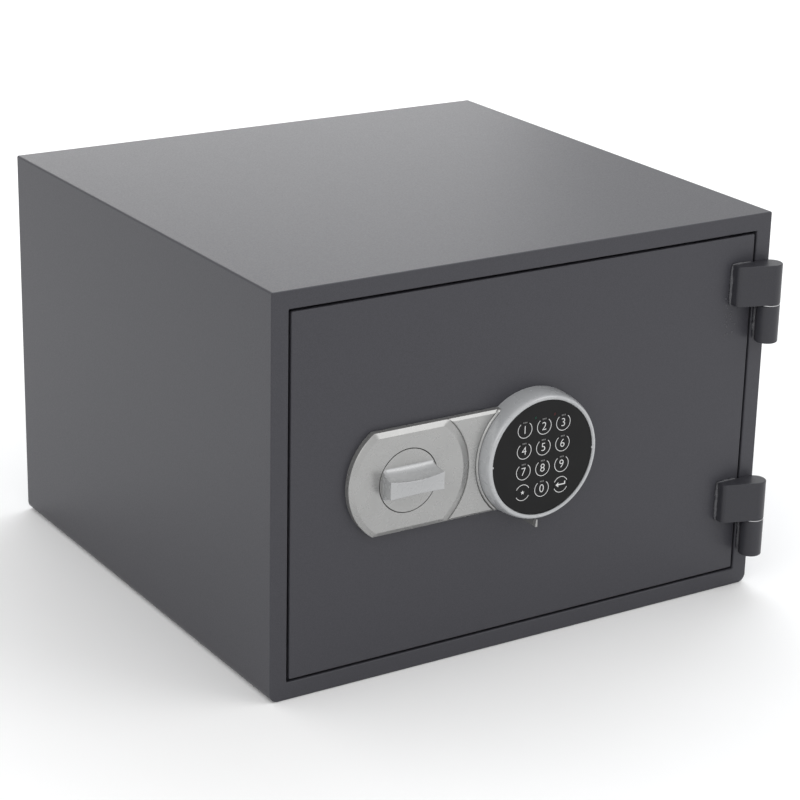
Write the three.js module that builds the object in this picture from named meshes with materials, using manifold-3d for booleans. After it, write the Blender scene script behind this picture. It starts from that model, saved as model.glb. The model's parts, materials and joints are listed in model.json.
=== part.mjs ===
// Fire-resistant in-room safe with an external two-hinge door, a turn knob and a keypad lock.
// Millimetres, +Z up, +X to the right seen from the front. The front face looks along -Y.
// The origin is the centre of the base, on the surface that the safe stands on.
import * as THREE from "three";
import { mergeVertices } from "three/addons/utils/BufferGeometryUtils.js";
import Module from "manifold-3d";

const wasm = await Module();
wasm.setup();
const { Manifold, Mesh: ManifoldMesh } = wasm;

// ---------------------------------------------------------------- driving dimensions

const GAP = 0.3;                     // clearance between pieces that rest on each other
const ROUND = 40;                    // sides of the large round pieces
const SMALL_ROUND = 14;              // sides of the small round pieces
const WIDTH = 445;                   // body, left to right
const DEPTH = 425;                   // body, front to back
const HEIGHT = 313;                  // body, floor to top
const SHEET = 2;                     // outer sheet steel
const LINER = 1.5;                   // inner sheet steel
const BORDER = 14;                   // front frame around the door
const DOOR_GAP = 2;                  // gap around the door
const LIP_DEPTH = 24;                // front frame turned in, measured from the front face
const JAMB_DEPTH = 26;               // face that the door seal closes on
const THROAT_HALF_W = 189;           // opening behind the seal
const THROAT_HALF_H = 123;
const THROAT_END = 70.5;             // where the inner liner starts
const CAVITY_W = 350;                // usable inside, wide, high and deep
const CAVITY_H = 220;
const CAVITY_D = 300;
const BOTTOM_RADIUS = 7;             // rounded lower edges of the body
const TOP_RADIUS = 1.5;              // crisp upper edges of the body

const FRONT = -DEPTH / 2;            // y of the front face
const BACK = DEPTH / 2;
const MID_Z = HEIGHT / 2;            // centre height of door, lock and bolts
const at = (depth) => FRONT + depth; // y of a plane that lies `depth` behind the front face

const DOOR_HALF_W = WIDTH / 2 - BORDER - DOOR_GAP;
const DOOR_HALF_H = HEIGHT / 2 - BORDER - DOOR_GAP;
const DOOR_EDGE = 22;                // depth of the door's turned-in edges
const DOOR_SKIN = 2.5;
const PLUG_HALF_W = 179.5;           // stepped inner part of the door
const PLUG_HALF_H = 119;
const PAN_FLOOR = 44;                // depth of the plate that carries the bolt work
const COVER_BACK = 68.5;             // depth of the inner cover's back face

const HINGE_X = WIDTH / 2 - 6;       // hinge axis
const HINGE_Y = FRONT - 9.7;
const HINGE_R = 9.25;
const PIN_R = 5;
const LEAF_HEIGHT = 32.5;
const KNUCKLE_HEIGHT = 30.5;
const LEAF_REACH = 31;               // leaf length to the left of the axis
const HINGE_SEAMS = { upper: 241.8, lower: 60.8 };   // height of the washer

const KNOB_X = -112.2;
const KNOB_R = 24.8;
const GRIP_HEIGHT = 22.5;            // front of the grip, in front of the body's face
const GRIP_HALF_L = 23;
const PLATE_HALF_H = 40.3;
const PLATE_END_R = 49.3;            // left end of the lock plate, about the knob
const PLATE_BASE = 4.5;              // height of the plate's side wall
const PLATEAU = 7.5;                 // height of the plateau around the knob
const TONGUE = 6.3;                  // height of the strip towards the keypad
const PLATEAU_R = 50;                // right end of the plateau, about the knob
const KEYPAD_R = 48.5;               // keypad rim
const KEYPAD_BASE_R = 50.5;
const KEYPAD_FACE_R = 45;
const KEYPAD_HEIGHT = 18.5;
const FACE_HEIGHT = 17.6;
const KEY_R = 6.7;
const KEY_PITCH_X = 17.4;
const KEY_PITCH_Z = 16.6;

const BOLT_R = 8;
const BOLT_OFFSET = 60;              // bolts above and below the middle
const BOLT_DEPTH = 56;
const BOLT_THROW = 20;
const BOLT_TIP = -PLUG_HALF_W;       // tip of a withdrawn bolt
const CRANK = BOLT_THROW / Math.SQRT2;   // cam pin radius for a quarter turn
const BOLT_TAIL_R = 5;
const BOLT_TAIL_END = -137.5;
const CARRIAGE_X = [-146, -78];
const CARRIAGE_HALF_H = 72;
const CARRIAGE_Y = [at(BOLT_DEPTH - 1.5), at(BOLT_DEPTH + 1.5)];
const CARRIAGE_FLANGE = 3;           // thickness of the flange that holds the bolts
const DOG_DEPTH = [45.8, 58];        // fixed bar on the hinge side
const DOG_ROOT = 150;
const DOG_TIP = 195;
const DOG_HALF_H = 70;
const DOG_SLOT_DEPTH = [41, 66];     // slot that the bar swings into
const DOG_SLOT_HALF_H = 74;
const SEAL_HALF_W = [203, 195];      // outer and inner edge of the seal
const SEAL_HALF_H = [137, 129];

// ---------------------------------------------------------------- materials

const steelPaint = { color: 0x4b4b4f, roughness: 0.5, metalness: 0.1 };
const bareSteel = { color: 0x9a9a9c, roughness: 0.35, metalness: 0.9 };
const zincSteel = { color: 0xb0aea6, roughness: 0.4, metalness: 0.8 };
const brass = { color: 0xb58d3d, roughness: 0.35, metalness: 0.9 };
const silverPaint = { color: 0xb6b6b2, roughness: 0.35, metalness: 0.5 };
const blackPlastic = { color: 0x1c1c1e, roughness: 0.35, metalness: 0 };
const rubber = { color: 0x161616, roughness: 0.8, metalness: 0 };
const mineral = { color: 0xc9c3b4, roughness: 0.95, metalness: 0 };
const linerPaint = { color: 0x8d8f92, roughness: 0.55, metalness: 0.1 };
const boardGreen = { color: 0x1e5a36, roughness: 0.5, metalness: 0 };

// ---------------------------------------------------------------- solids

const X_AXIS = new THREE.Vector3(1, 0, 0);
const Y_AXIS = new THREE.Vector3(0, 1, 0);
const Z_AXIS = new THREE.Vector3(0, 0, 1);

function solid(geometry) {
  const bare = geometry.clone();
  bare.deleteAttribute("normal");
  bare.deleteAttribute("uv");
  const merged = mergeVertices(bare, 1e-4);
  const vertProperties = new Float32Array(merged.attributes.position.array);
  const triVerts = new Uint32Array(merged.index.array);
  return new Manifold(new ManifoldMesh({ numProp: 3, vertProperties, triVerts }));
}

function toGeometry(manifold) {
  const data = manifold.getMesh();
  const geometry = new THREE.BufferGeometry();
  geometry.setAttribute("position", new THREE.BufferAttribute(new Float32Array(data.vertProperties), 3));
  geometry.setIndex(new THREE.BufferAttribute(new Uint32Array(data.triVerts), 1));
  geometry.computeVertexNormals();
  return geometry;
}

function box([x0, x1], [y0, y1], [z0, z1]) {
  const geometry = new THREE.BoxGeometry(x1 - x0, y1 - y0, z1 - z0);
  geometry.translate((x0 + x1) / 2, (y0 + y1) / 2, (z0 + z1) / 2);
  return solid(geometry);
}

const aroundMiddle = (halfH) => [MID_Z - halfH, MID_Z + halfH];

// A box centred on x = 0 and on the door's middle height.
function centredBox(halfW, halfH, ys) {
  return box([-halfW, halfW], ys, aroundMiddle(halfH));
}

function ring(outer, inner, ys) {
  const hole = [Math.min(...ys) - 1, Math.max(...ys) + 1];
  return centredBox(outer[0], outer[1], ys).subtract(centredBox(inner[0], inner[1], hole));
}

// A shape drawn in x and z, made solid between two y values.
function extrudeY(shape, [y0, y1], curveSegments = 12) {
  const geometry = new THREE.ExtrudeGeometry(shape, { depth: y1 - y0, bevelEnabled: false, curveSegments });
  geometry.applyMatrix4(new THREE.Matrix4().makeBasis(X_AXIS, Z_AXIS, Y_AXIS.clone().negate()));
  geometry.translate(0, y1, 0);
  return solid(geometry);
}

// A shape drawn in x and y, made solid between two heights.
function extrudeZ(shape, [z0, z1], curveSegments = 12) {
  const geometry = new THREE.ExtrudeGeometry(shape, { depth: z1 - z0, bevelEnabled: false, curveSegments });
  geometry.translate(0, 0, z0);
  return solid(geometry);
}

// A shape drawn in y and z, made solid between two x values.
function extrudeX(shape, [x0, x1], curveSegments = 12) {
  const geometry = new THREE.ExtrudeGeometry(shape, { depth: x1 - x0, bevelEnabled: false, curveSegments });
  geometry.applyMatrix4(new THREE.Matrix4().makeBasis(Y_AXIS, Z_AXIS, X_AXIS));
  geometry.translate(x0, 0, 0);
  return solid(geometry);
}

// A round bar along "x", "y" or "z" between two stations; centre is given by the other two coordinates.
function bar(axis, radius, [from, to], [u, v], segments = 20) {
  const geometry = new THREE.CylinderGeometry(radius, radius, to - from, segments);
  const middle = (from + to) / 2;
  if (axis === "x") {
    geometry.rotateZ(Math.PI / 2);
    geometry.translate(middle, u, v);
  } else if (axis === "y") {
    geometry.translate(u, middle, v);
  } else {
    geometry.rotateX(Math.PI / 2);
    geometry.translate(u, v, middle);
  }
  return solid(geometry);
}

// A profile of [radius, y] points, closed on the axis, turned about a line along Y.
function turnedY(profile, [x, z], segments = ROUND) {
  const points = profile.map(([radius, y]) => new THREE.Vector2(radius, y));
  const geometry = new THREE.LatheGeometry(points, segments);
  geometry.translate(x, 0, z);
  const turned = solid(geometry);
  return turned.volume() < 0 ? solid(flip(geometry)) : turned;
}

function flip(geometry) {
  const flipped = geometry.clone();
  const index = Array.from(flipped.index.array);
  for (let i = 0; i < index.length; i += 3) {
    [index[i], index[i + 1]] = [index[i + 1], index[i]];
  }
  flipped.setIndex(index);
  return flipped;
}

function union(...solids) {
  return solids.reduce((sum, next) => sum.add(next));
}

// A rectangle with one radius for the upper corners and one for the lower corners.
function bodyOutline(inset) {
  const halfW = WIDTH / 2 - inset;
  const low = inset;
  const high = HEIGHT - inset;
  const rBottom = Math.max(BOTTOM_RADIUS - inset, 0.5);
  const rTop = Math.max(TOP_RADIUS - inset, 0.5);
  const shape = new THREE.Shape();
  shape.moveTo(-halfW + rBottom, low);
  shape.lineTo(halfW - rBottom, low);
  shape.absarc(halfW - rBottom, low + rBottom, rBottom, -Math.PI / 2, 0, false);
  shape.absarc(halfW - rTop, high - rTop, rTop, 0, Math.PI / 2, false);
  shape.absarc(-halfW + rTop, high - rTop, rTop, Math.PI / 2, Math.PI, false);
  shape.absarc(-halfW + rBottom, low + rBottom, rBottom, Math.PI, 1.5 * Math.PI, false);
  return shape;
}

// ---------------------------------------------------------------- scene graph

const safe = new THREE.Group();

function addPiece(name, manifold, look) {
  const mesh = new THREE.Mesh(toGeometry(manifold), new THREE.MeshStandardMaterial(look));
  mesh.name = name;
  safe.add(mesh);
}

// ---------------------------------------------------------------- body

const ANCHOR = { x: 0, y: 60, holeR: 7, sleeveR: 9 };
const anchorBar = (radius, zs) => bar("z", radius, zs, [ANCHOR.x, ANCHOR.y], 16);
const boltHole = (radius, side) => bar("x", radius, [-206, -170], [at(BOLT_DEPTH), MID_Z + side * BOLT_OFFSET]);

function bodyShell() {
  const frameW = WIDTH / 2 - BORDER;
  const frameH = HEIGHT / 2 - BORDER;
  const outside = extrudeY(bodyOutline(0), [FRONT, BACK], 6);
  const inside = extrudeY(bodyOutline(SHEET), [at(SHEET), BACK + 1], 6);
  const lip = ring([frameW + SHEET, frameH + SHEET], [frameW, frameH], [at(SHEET / 2), at(LIP_DEPTH)]);
  const opening = centredBox(frameW, frameH, [FRONT - 1, at(LIP_DEPTH + 1)]);
  return outside.subtract(inside).subtract(opening).add(lip).subtract(anchorBar(ANCHOR.holeR, [-1, SHEET + 1]));
}

function backPanel() {
  return extrudeY(bodyOutline(SHEET + GAP), [BACK - 1 - SHEET, BACK - 1], 6);
}

const LINER_FRONT = THROAT_END + GAP;
const LINER_BACK = LINER_FRONT + LINER + CAVITY_D;

function bodyInsulation() {
  const block = extrudeY(bodyOutline(SHEET + GAP), [at(JAMB_DEPTH + SHEET + GAP), BACK - 1 - SHEET - GAP], 6);
  const throatClear = SHEET + GAP;
  const throat = centredBox(THROAT_HALF_W + throatClear, THROAT_HALF_H + throatClear,
    [at(JAMB_DEPTH), at(LINER_FRONT + LINER + GAP)]);
  const linerClear = LINER + GAP;
  const cavity = centredBox(CAVITY_W / 2 + linerClear, CAVITY_H / 2 + linerClear,
    [at(JAMB_DEPTH), at(LINER_BACK + linerClear)]);
  const dogPocket = box([DOG_ROOT, DOG_TIP + 2.5], DOG_SLOT_DEPTH.map(at), aroundMiddle(DOG_SLOT_HALF_H + 2));
  const pockets = union(boltHole(BOLT_R + 3, 1), boltHole(BOLT_R + 3, -1));
  return block.subtract(throat).subtract(cavity).subtract(dogPocket)
    .subtract(pockets).subtract(anchorBar(ANCHOR.sleeveR + GAP, [-1, MID_Z]));
}

function jambFrame() {
  const outer = [WIDTH / 2 - SHEET - GAP - 1, HEIGHT / 2 - SHEET - GAP - 5];   // clear of the rounded lower edges
  const inner = [THROAT_HALF_W, THROAT_HALF_H];
  const wall = [THROAT_HALF_W + SHEET, THROAT_HALF_H + SHEET];
  const face = ring(outer, inner, [at(JAMB_DEPTH), at(JAMB_DEPTH + SHEET)]);
  const throat = ring(wall, inner, [at(JAMB_DEPTH + SHEET / 2), at(THROAT_END)]);
  const dogSlot = box([THROAT_HALF_W - 9, DOG_TIP + 5], DOG_SLOT_DEPTH.map(at), aroundMiddle(DOG_SLOT_HALF_H));
  return face.add(throat).subtract(boltHole(BOLT_R + 1, 1)).subtract(boltHole(BOLT_R + 1, -1)).subtract(dogSlot);
}

function innerLiner() {
  const halfW = CAVITY_W / 2;
  const halfH = CAVITY_H / 2;
  const flange = ring([THROAT_HALF_W + SHEET, THROAT_HALF_H + SHEET], [halfW, halfH],
    [at(LINER_FRONT), at(LINER_FRONT + LINER)]);
  const outside = centredBox(halfW + LINER, halfH + LINER, [at(LINER_FRONT + LINER / 2), at(LINER_BACK + LINER)]);
  const inside = centredBox(halfW, halfH, [at(LINER_FRONT - 1), at(LINER_BACK)]);
  return flange.add(outside).subtract(inside).subtract(anchorBar(ANCHOR.holeR, [0, MID_Z]));
}

const CAVITY_FLOOR = MID_Z - CAVITY_H / 2;

function anchorSleeve() {
  const zs = [SHEET + GAP, CAVITY_FLOOR - LINER - GAP];
  return anchorBar(ANCHOR.sleeveR, zs).subtract(anchorBar(ANCHOR.holeR, [0, MID_Z]));
}

// Push-in plug, just below the liner's floor, with a slot to prise it out.
function anchorPlug() {
  const top = CAVITY_FLOOR - GAP;
  const slot = box([ANCHOR.x - 4.5, ANCHOR.x + 4.5], [ANCHOR.y - 0.8, ANCHOR.y + 0.8], [top - 1.5, top + 1]);
  return anchorBar(ANCHOR.holeR - GAP, [CAVITY_FLOOR - 10, top]).subtract(slot);
}

// ---------------------------------------------------------------- hinges

const LEAF_BACK = FRONT - GAP;
const hingeBar = (radius, zs, segments = 16) => bar("z", radius, zs, [HINGE_X, HINGE_Y], segments);

// Plan outline of the leaf: flat back, blunt left end and a front face that meets the barrel as a tangent.
function hingeLeaf(seam) {
  const left = HINGE_X - LEAF_REACH;
  const endY = LEAF_BACK - 10;
  const corner = 3;
  const shape = new THREE.Shape();
  shape.moveTo(HINGE_X, LEAF_BACK);
  shape.lineTo(left, LEAF_BACK);
  shape.lineTo(left, endY + corner);
  shape.quadraticCurveTo(left, endY, left + corner, endY - 0.6);
  shape.lineTo(HINGE_X - 1.5, HINGE_Y - HINGE_R + 0.12);
  shape.lineTo(HINGE_X, HINGE_Y);
  const zs = [seam + 0.9, seam + 0.9 + LEAF_HEIGHT];
  const bore = hingeBar(PIN_R + GAP, [seam - 1, seam + 26]);
  return extrudeZ(shape, zs, 4).add(hingeBar(HINGE_R, zs, 24)).subtract(bore);
}

function hingeKnuckle(seam) {
  const barrel = hingeBar(HINGE_R, [seam - KNUCKLE_HEIGHT, seam], 24);
  return barrel.subtract(hingeBar(PIN_R + GAP, [seam - 24, seam + 1]));
}

function hingePin(seam) {
  return hingeBar(PIN_R, [seam - 23.5, seam + 25]);
}

function hingeWasher(seam) {
  const outer = hingeBar(HINGE_R - 0.1, [seam + 0.15, seam + 0.75], 24);
  return outer.subtract(hingeBar(PIN_R + GAP, [seam, seam + 1]));
}

// ---------------------------------------------------------------- door

const SPINDLE_R = 5;
const CABLE = { x: 0, z: MID_Z + 24, r: 2 };
const spindleBar = (radius, ys, segments = 16) => bar("y", radius, ys, [KNOB_X, MID_Z], segments);
const cableBar = (radius, ys) => bar("y", radius, ys, [CABLE.x, CABLE.z], 12);

const SCREWS = [];
for (const side of [-1, 1]) {
  for (const row of [-1, 1]) {
    SCREWS.push({ x: side * 160, z: MID_Z + row * 100 });
  }
}

function doorPanel() {
  const face = centredBox(DOOR_HALF_W, DOOR_HALF_H, [FRONT, at(DOOR_EDGE)]);
  const hollow = centredBox(DOOR_HALF_W - SHEET, DOOR_HALF_H - SHEET, [at(DOOR_SKIN), at(DOOR_EDGE + 1)]);
  return face.subtract(hollow).subtract(spindleBar(SPINDLE_R + 1, [FRONT - 1, at(DOOR_SKIN + 1)]))
    .subtract(cableBar(5, [FRONT - 1, at(DOOR_SKIN + 1)]));
}

function doorInsulation() {
  const wide = centredBox(DOOR_HALF_W - SHEET - GAP, DOOR_HALF_H - SHEET - GAP,
    [at(DOOR_SKIN + GAP), at(DOOR_EDGE)]);
  const plug = centredBox(PLUG_HALF_W - LINER - GAP, PLUG_HALF_H - LINER - GAP,
    [at(DOOR_EDGE - 1), at(PAN_FLOOR - GAP)]);
  return wide.add(plug).subtract(spindleBar(SPINDLE_R + 2, [FRONT, at(PAN_FLOOR)]))
    .subtract(cableBar(5, [FRONT, at(PAN_FLOOR)]));
}

// Flange behind the door's edges, stepped in to the floor that carries the bolt work and four posts.
function doorPan() {
  const flangeY = [at(DOOR_EDGE + GAP), at(DOOR_EDGE + GAP + LINER)];
  const flange = ring([DOOR_HALF_W - 0.5, DOOR_HALF_H - 0.5], [PLUG_HALF_W - LINER, PLUG_HALF_H - LINER], flangeY);
  const walls = ring([PLUG_HALF_W, PLUG_HALF_H], [PLUG_HALF_W - LINER, PLUG_HALF_H - LINER],
    [at(DOOR_EDGE + GAP), at(PAN_FLOOR + LINER)]);
  const floor = centredBox(PLUG_HALF_W, PLUG_HALF_H, [at(PAN_FLOOR), at(PAN_FLOOR + LINER)]);
  const posts = SCREWS.map(({ x, z }) => bar("y", 6, [at(PAN_FLOOR + 1), at(COVER_BACK - LINER - GAP)], [x, z], 16)
    .subtract(bar("y", 2.3, [at(PAN_FLOOR + 8), at(COVER_BACK)], [x, z], 12)));
  return union(flange, walls, floor, ...posts).subtract(spindleBar(8, [FRONT, at(PAN_FLOOR + 3)]))
    .subtract(cableBar(5, [FRONT, at(PAN_FLOOR + 3)]));
}

function doorCover() {
  const ys = [at(PAN_FLOOR + LINER + GAP), at(COVER_BACK)];
  const outside = centredBox(PLUG_HALF_W, PLUG_HALF_H, ys);
  const inside = centredBox(PLUG_HALF_W - LINER, PLUG_HALF_H - LINER, [ys[0] - 1, ys[1] - LINER]);
  const holes = SCREWS.map(({ x, z }) => bar("y", 2.6, [at(COVER_BACK - 3), at(COVER_BACK + 1)], [x, z], 12));
  const dogSlot = box([PLUG_HALF_W - 9.5, PLUG_HALF_W + 5.5], [ys[0] - 1, at(DOG_DEPTH[1] + 0.5)],
    aroundMiddle(DOG_HALF_H + 0.5));
  return outside.subtract(inside).subtract(union(...holes)).subtract(dogSlot)
    .subtract(boltHole(BOLT_R + 0.6, 1)).subtract(boltHole(BOLT_R + 0.6, -1));
}

function coverScrew({ x, z }) {
  const head = bar("y", 4.5, [at(COVER_BACK + GAP), at(COVER_BACK + 2)], [x, z], 16);
  const stem = bar("y", 2, [at(COVER_BACK - 12), at(COVER_BACK + 1)], [x, z], 12);
  const slot = box([x - 5, x + 5], [at(COVER_BACK + 1.2), at(COVER_BACK + 3)], [z - 0.5, z + 0.5]);
  return head.add(stem).subtract(slot);
}

function doorSeal() {
  const [outer, inner] = [0, 1].map((edge) => [SEAL_HALF_W[edge], SEAL_HALF_H[edge]]);
  return ring(outer, inner, [at(DOOR_EDGE + LINER + 2 * GAP), at(JAMB_DEPTH - GAP)]);
}

function dogBar() {
  return box([DOG_ROOT, DOG_TIP], DOG_DEPTH.map(at), aroundMiddle(DOG_HALF_H));
}

// ---------------------------------------------------------------- bolt work

const PAN_TOP = PAN_FLOOR + LINER + GAP;      // depth of pieces that stand on the pan floor
const PIN_SLOT = { x: KNOB_X + BOLT_THROW / 2, halfW: 3.8, zs: [MID_Z + 5.8, MID_Z + 18.4] };
const STUD_X = -125;
const STUD_OFFSET = 40;
const ARM = { x1: 14, zs: [MID_Z - 21, MID_Z - 7.5] };
const LOCK_BOLT = { xs: [-30, -14], ys: [at(BOLT_DEPTH - 4.5), at(BOLT_DEPTH + 4.5)], travel: 7 };
const LOCK_CASE = { xs: [-44, 40], z0: MID_Z - 6.8, z1: MID_Z + 60, depth: 16.5 };
const SLOT_CUT = [at(PAN_FLOOR), at(COVER_BACK)];    // cuts right through the carriage
const GUIDE_X = -176.5;
const GUIDE_HALF_H = 74;

function boltGuide() {
  const plate = box([GUIDE_X, GUIDE_X + 3], [at(PAN_TOP), at(BOLT_DEPTH + 9.5)], aroundMiddle(GUIDE_HALF_H));
  const foot = box([GUIDE_X + 2, GUIDE_X + 18.5], [at(PAN_TOP), at(PAN_TOP + 1.6)], aroundMiddle(GUIDE_HALF_H));
  return plate.add(foot).subtract(boltHole(BOLT_R + GAP, 1)).subtract(boltHole(BOLT_R + GAP, -1));
}

function guideStud(side) {
  const z = MID_Z + side * STUD_OFFSET;
  const shaft = bar("y", 4, [at(PAN_TOP), at(BOLT_DEPTH + 3)], [STUD_X, z], 16);
  const head = bar("y", 7, [CARRIAGE_Y[1] + GAP, at(BOLT_DEPTH + 4.5)], [STUD_X, z], 16);
  const foot = bar("y", 7, [at(PAN_TOP), CARRIAGE_Y[0] - GAP], [STUD_X, z], 16);
  return union(shaft, head, foot);
}

function spindleBush() {
  const tube = spindleBar(7.6, [at(PAN_FLOOR - 8), at(PAN_TOP + 1)]);
  const collar = spindleBar(11, [at(PAN_TOP), at(PAN_TOP + 1.4)]);
  return tube.intersect(spindleBar(6.7, [at(0), at(60)])).add(collar)
    .subtract(spindleBar(SPINDLE_R + GAP, [at(20), at(60)]));
}

function slotShape(x0, x1, zMid, halfH) {
  const shape = new THREE.Shape();
  shape.absarc(x1 - halfH, zMid, halfH, -Math.PI / 2, Math.PI / 2, false);
  shape.absarc(x0 + halfH, zMid, halfH, Math.PI / 2, 1.5 * Math.PI, false);
  return shape;
}

// The room that one guide stud, one bolt tail and its washer take out of the carriage.
function carriageSideCuts(side) {
  const boltZ = MID_Z + side * BOLT_OFFSET;
  const slot = slotShape(STUD_X - 4.8, STUD_X + BOLT_THROW + 4.8, MID_Z + side * STUD_OFFSET, 4.4);
  const tailHole = bar("x", BOLT_TAIL_R + GAP, [CARRIAGE_X[0] - 4, CARRIAGE_X[0] + 6], [at(BOLT_DEPTH), boltZ]);
  const tailRoom = box([CARRIAGE_X[0] + 2, CARRIAGE_X[0] + 10], [at(BOLT_DEPTH - 5), at(BOLT_DEPTH + 5)],
    [boltZ - 7, boltZ + 7]);
  return union(extrudeY(slot, SLOT_CUT, 6), tailHole, tailRoom);
}

function boltCarriage() {
  const plate = box(CARRIAGE_X, CARRIAGE_Y, aroundMiddle(CARRIAGE_HALF_H));
  const arm = box([CARRIAGE_X[1] - 1, ARM.x1], CARRIAGE_Y, ARM.zs);
  const flange = box([CARRIAGE_X[0], CARRIAGE_X[0] + CARRIAGE_FLANGE], [at(BOLT_DEPTH - 8), at(BOLT_DEPTH + 8)],
    aroundMiddle(CARRIAGE_HALF_H));
  const pinSlot = box([PIN_SLOT.x - PIN_SLOT.halfW, PIN_SLOT.x + PIN_SLOT.halfW], SLOT_CUT, PIN_SLOT.zs);
  const notches = [0, BOLT_THROW].map((offset) =>
    box([LOCK_BOLT.xs[0] - 2 * GAP + offset, LOCK_BOLT.xs[1] + 2 * GAP + offset], SLOT_CUT,
      [ARM.zs[1] - LOCK_BOLT.travel - 2 * GAP, ARM.zs[1] + 1]));
  return union(plate, arm, flange).subtract(pinSlot).subtract(union(...notches))
    .subtract(carriageSideCuts(1)).subtract(carriageSideCuts(-1));
}

function liveBolt(side) {
  const chamfer = 1.5;
  const centre = [at(BOLT_DEPTH), MID_Z + side * BOLT_OFFSET];
  const nose = bar("x", BOLT_R, [BOLT_TIP + chamfer, CARRIAGE_X[0] - GAP], centre);
  const tip = new THREE.CylinderGeometry(BOLT_R, BOLT_R - chamfer, chamfer, 24);
  tip.rotateZ(-Math.PI / 2);
  tip.translate(BOLT_TIP + chamfer / 2, centre[0], centre[1]);
  const tail = bar("x", BOLT_TAIL_R, [CARRIAGE_X[0] - 2, BOLT_TAIL_END], centre);
  return union(nose, solid(tip), tail);
}

function lockCase() {
  const shell = box(LOCK_CASE.xs, [at(PAN_TOP), at(PAN_TOP + LOCK_CASE.depth)], [LOCK_CASE.z0, LOCK_CASE.z1]);
  const pocket = box([LOCK_BOLT.xs[0] - GAP, LOCK_BOLT.xs[1] + GAP],
    [LOCK_BOLT.ys[0] - GAP, LOCK_BOLT.ys[1] + GAP], [LOCK_CASE.z0 - 1, LOCK_CASE.z0 + 22]);
  return shell.subtract(pocket).subtract(cableBar(2.6, [at(PAN_TOP - 1), at(PAN_TOP + 6)]));
}

function lockBolt() {
  return box(LOCK_BOLT.xs, LOCK_BOLT.ys, [LOCK_CASE.z0 + 0.1, LOCK_CASE.z0 + 21]);
}

// ---------------------------------------------------------------- knob, spindle and cam

const PLATE_FOOT = FRONT - GAP;               // y of everything that lies on the door's face
const KNOB_TOP = PLATE_FOOT - PLATEAU;
const GRIP_TOP = FRONT - GRIP_HEIGHT;

// Cross-section of the grip: waisted sides that flare into the disc, and a flat front.
function gripSection() {
  const shape = new THREE.Shape();
  shape.moveTo(KNOB_TOP + 2, MID_Z - 13);
  shape.quadraticCurveTo(KNOB_TOP - 3, MID_Z - 5.5, GRIP_TOP, MID_Z - 7);
  shape.lineTo(GRIP_TOP, MID_Z + 7);
  shape.quadraticCurveTo(KNOB_TOP - 3, MID_Z + 5.5, KNOB_TOP + 2, MID_Z + 13);
  return shape;
}

function knob() {
  const centre = [KNOB_X, MID_Z];
  const disc = bar("y", KNOB_R - GAP, [KNOB_TOP, PLATE_FOOT], centre, ROUND);
  const grip = extrudeX(gripSection(), [KNOB_X - GRIP_HALF_L, KNOB_X + GRIP_HALF_L], 5);
  const reach = bar("y", KNOB_R - 0.6, [GRIP_TOP - 1, PLATE_FOOT - 3], centre, ROUND);
  const socket = spindleBar(SPINDLE_R + GAP, [FRONT - 6, FRONT + 1]);
  return disc.add(grip.intersect(reach)).subtract(socket);
}

const CAM_Y = [at(PAN_TOP + 1.9), CARRIAGE_Y[0] - 1];

function spindle() {
  return spindleBar(SPINDLE_R, [FRONT - 5.5, CAM_Y[1] - 0.2]);
}

function cam() {
  const pinX = KNOB_X + CRANK * Math.SQRT1_2;
  const pinZ = MID_Z + CRANK * Math.SQRT1_2;
  const hub = spindleBar(9, CAM_Y, 24);
  const web = bar("y", 5, CAM_Y, [pinX, pinZ], 20);
  const arm = box([KNOB_X, KNOB_X + CRANK], CAM_Y, [MID_Z - 5, MID_Z + 5])
    .translate([-KNOB_X, 0, -MID_Z]).rotate([0, -45, 0]).translate([KNOB_X, 0, MID_Z]);
  const pin = bar("y", 3, [CAM_Y[0] + 1, at(BOLT_DEPTH + 4)], [pinX, pinZ], 20);
  return union(hub, web, arm, pin).subtract(spindleBar(SPINDLE_R + GAP, [at(30), CAM_Y[1] + 1]));
}

// ---------------------------------------------------------------- lock plate and keypad

function plateOutline(halfH, leftR, right) {
  const leftAngle = Math.PI - Math.asin(halfH / leftR);
  const shape = new THREE.Shape();
  shape.absarc(KNOB_X, MID_Z, leftR, leftAngle, 2 * Math.PI - leftAngle, false);
  shape.lineTo(right, MID_Z - halfH);
  shape.lineTo(right, MID_Z + halfH);
  return shape;
}

// Straight wall, then a chamfer of the given width up to the plateau.
function chamferedPlate(halfH, leftR, right, base, top, chamfer) {
  const settings = { depth: base, bevelThickness: top - base, bevelSize: chamfer, bevelOffset: -chamfer,
    bevelSegments: 1, curveSegments: 16 };
  const geometry = new THREE.ExtrudeGeometry(plateOutline(halfH, leftR, right), settings);
  geometry.applyMatrix4(new THREE.Matrix4().makeBasis(X_AXIS, Z_AXIS, Y_AXIS.clone().negate()));
  geometry.translate(0, PLATE_FOOT, 0);
  return solid(geometry).intersect(centredBox(WIDTH, HEIGHT, [PLATE_FOOT - top - 1, PLATE_FOOT]));
}

function lockPlate() {
  const around = bar("y", PLATEAU_R, [PLATE_FOOT - 20, PLATE_FOOT + 5], [KNOB_X, MID_Z], ROUND);
  const plateau = chamferedPlate(PLATE_HALF_H, PLATE_END_R, KNOB_X + 90, PLATE_BASE, PLATEAU, 4).intersect(around);
  const tongue = chamferedPlate(PLATE_HALF_H, PLATE_END_R, 0, PLATE_BASE, TONGUE, 2.2);
  const keypadRoom = bar("y", KEYPAD_BASE_R + 1, [PLATE_FOOT - 20, PLATE_FOOT + 5], [0, MID_Z], ROUND);
  const knobRoom = bar("y", KNOB_R + GAP, [PLATE_FOOT - 20, PLATE_FOOT + 5], [KNOB_X, MID_Z], ROUND);
  return plateau.add(tongue).subtract(keypadRoom).subtract(knobRoom);
}

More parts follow.
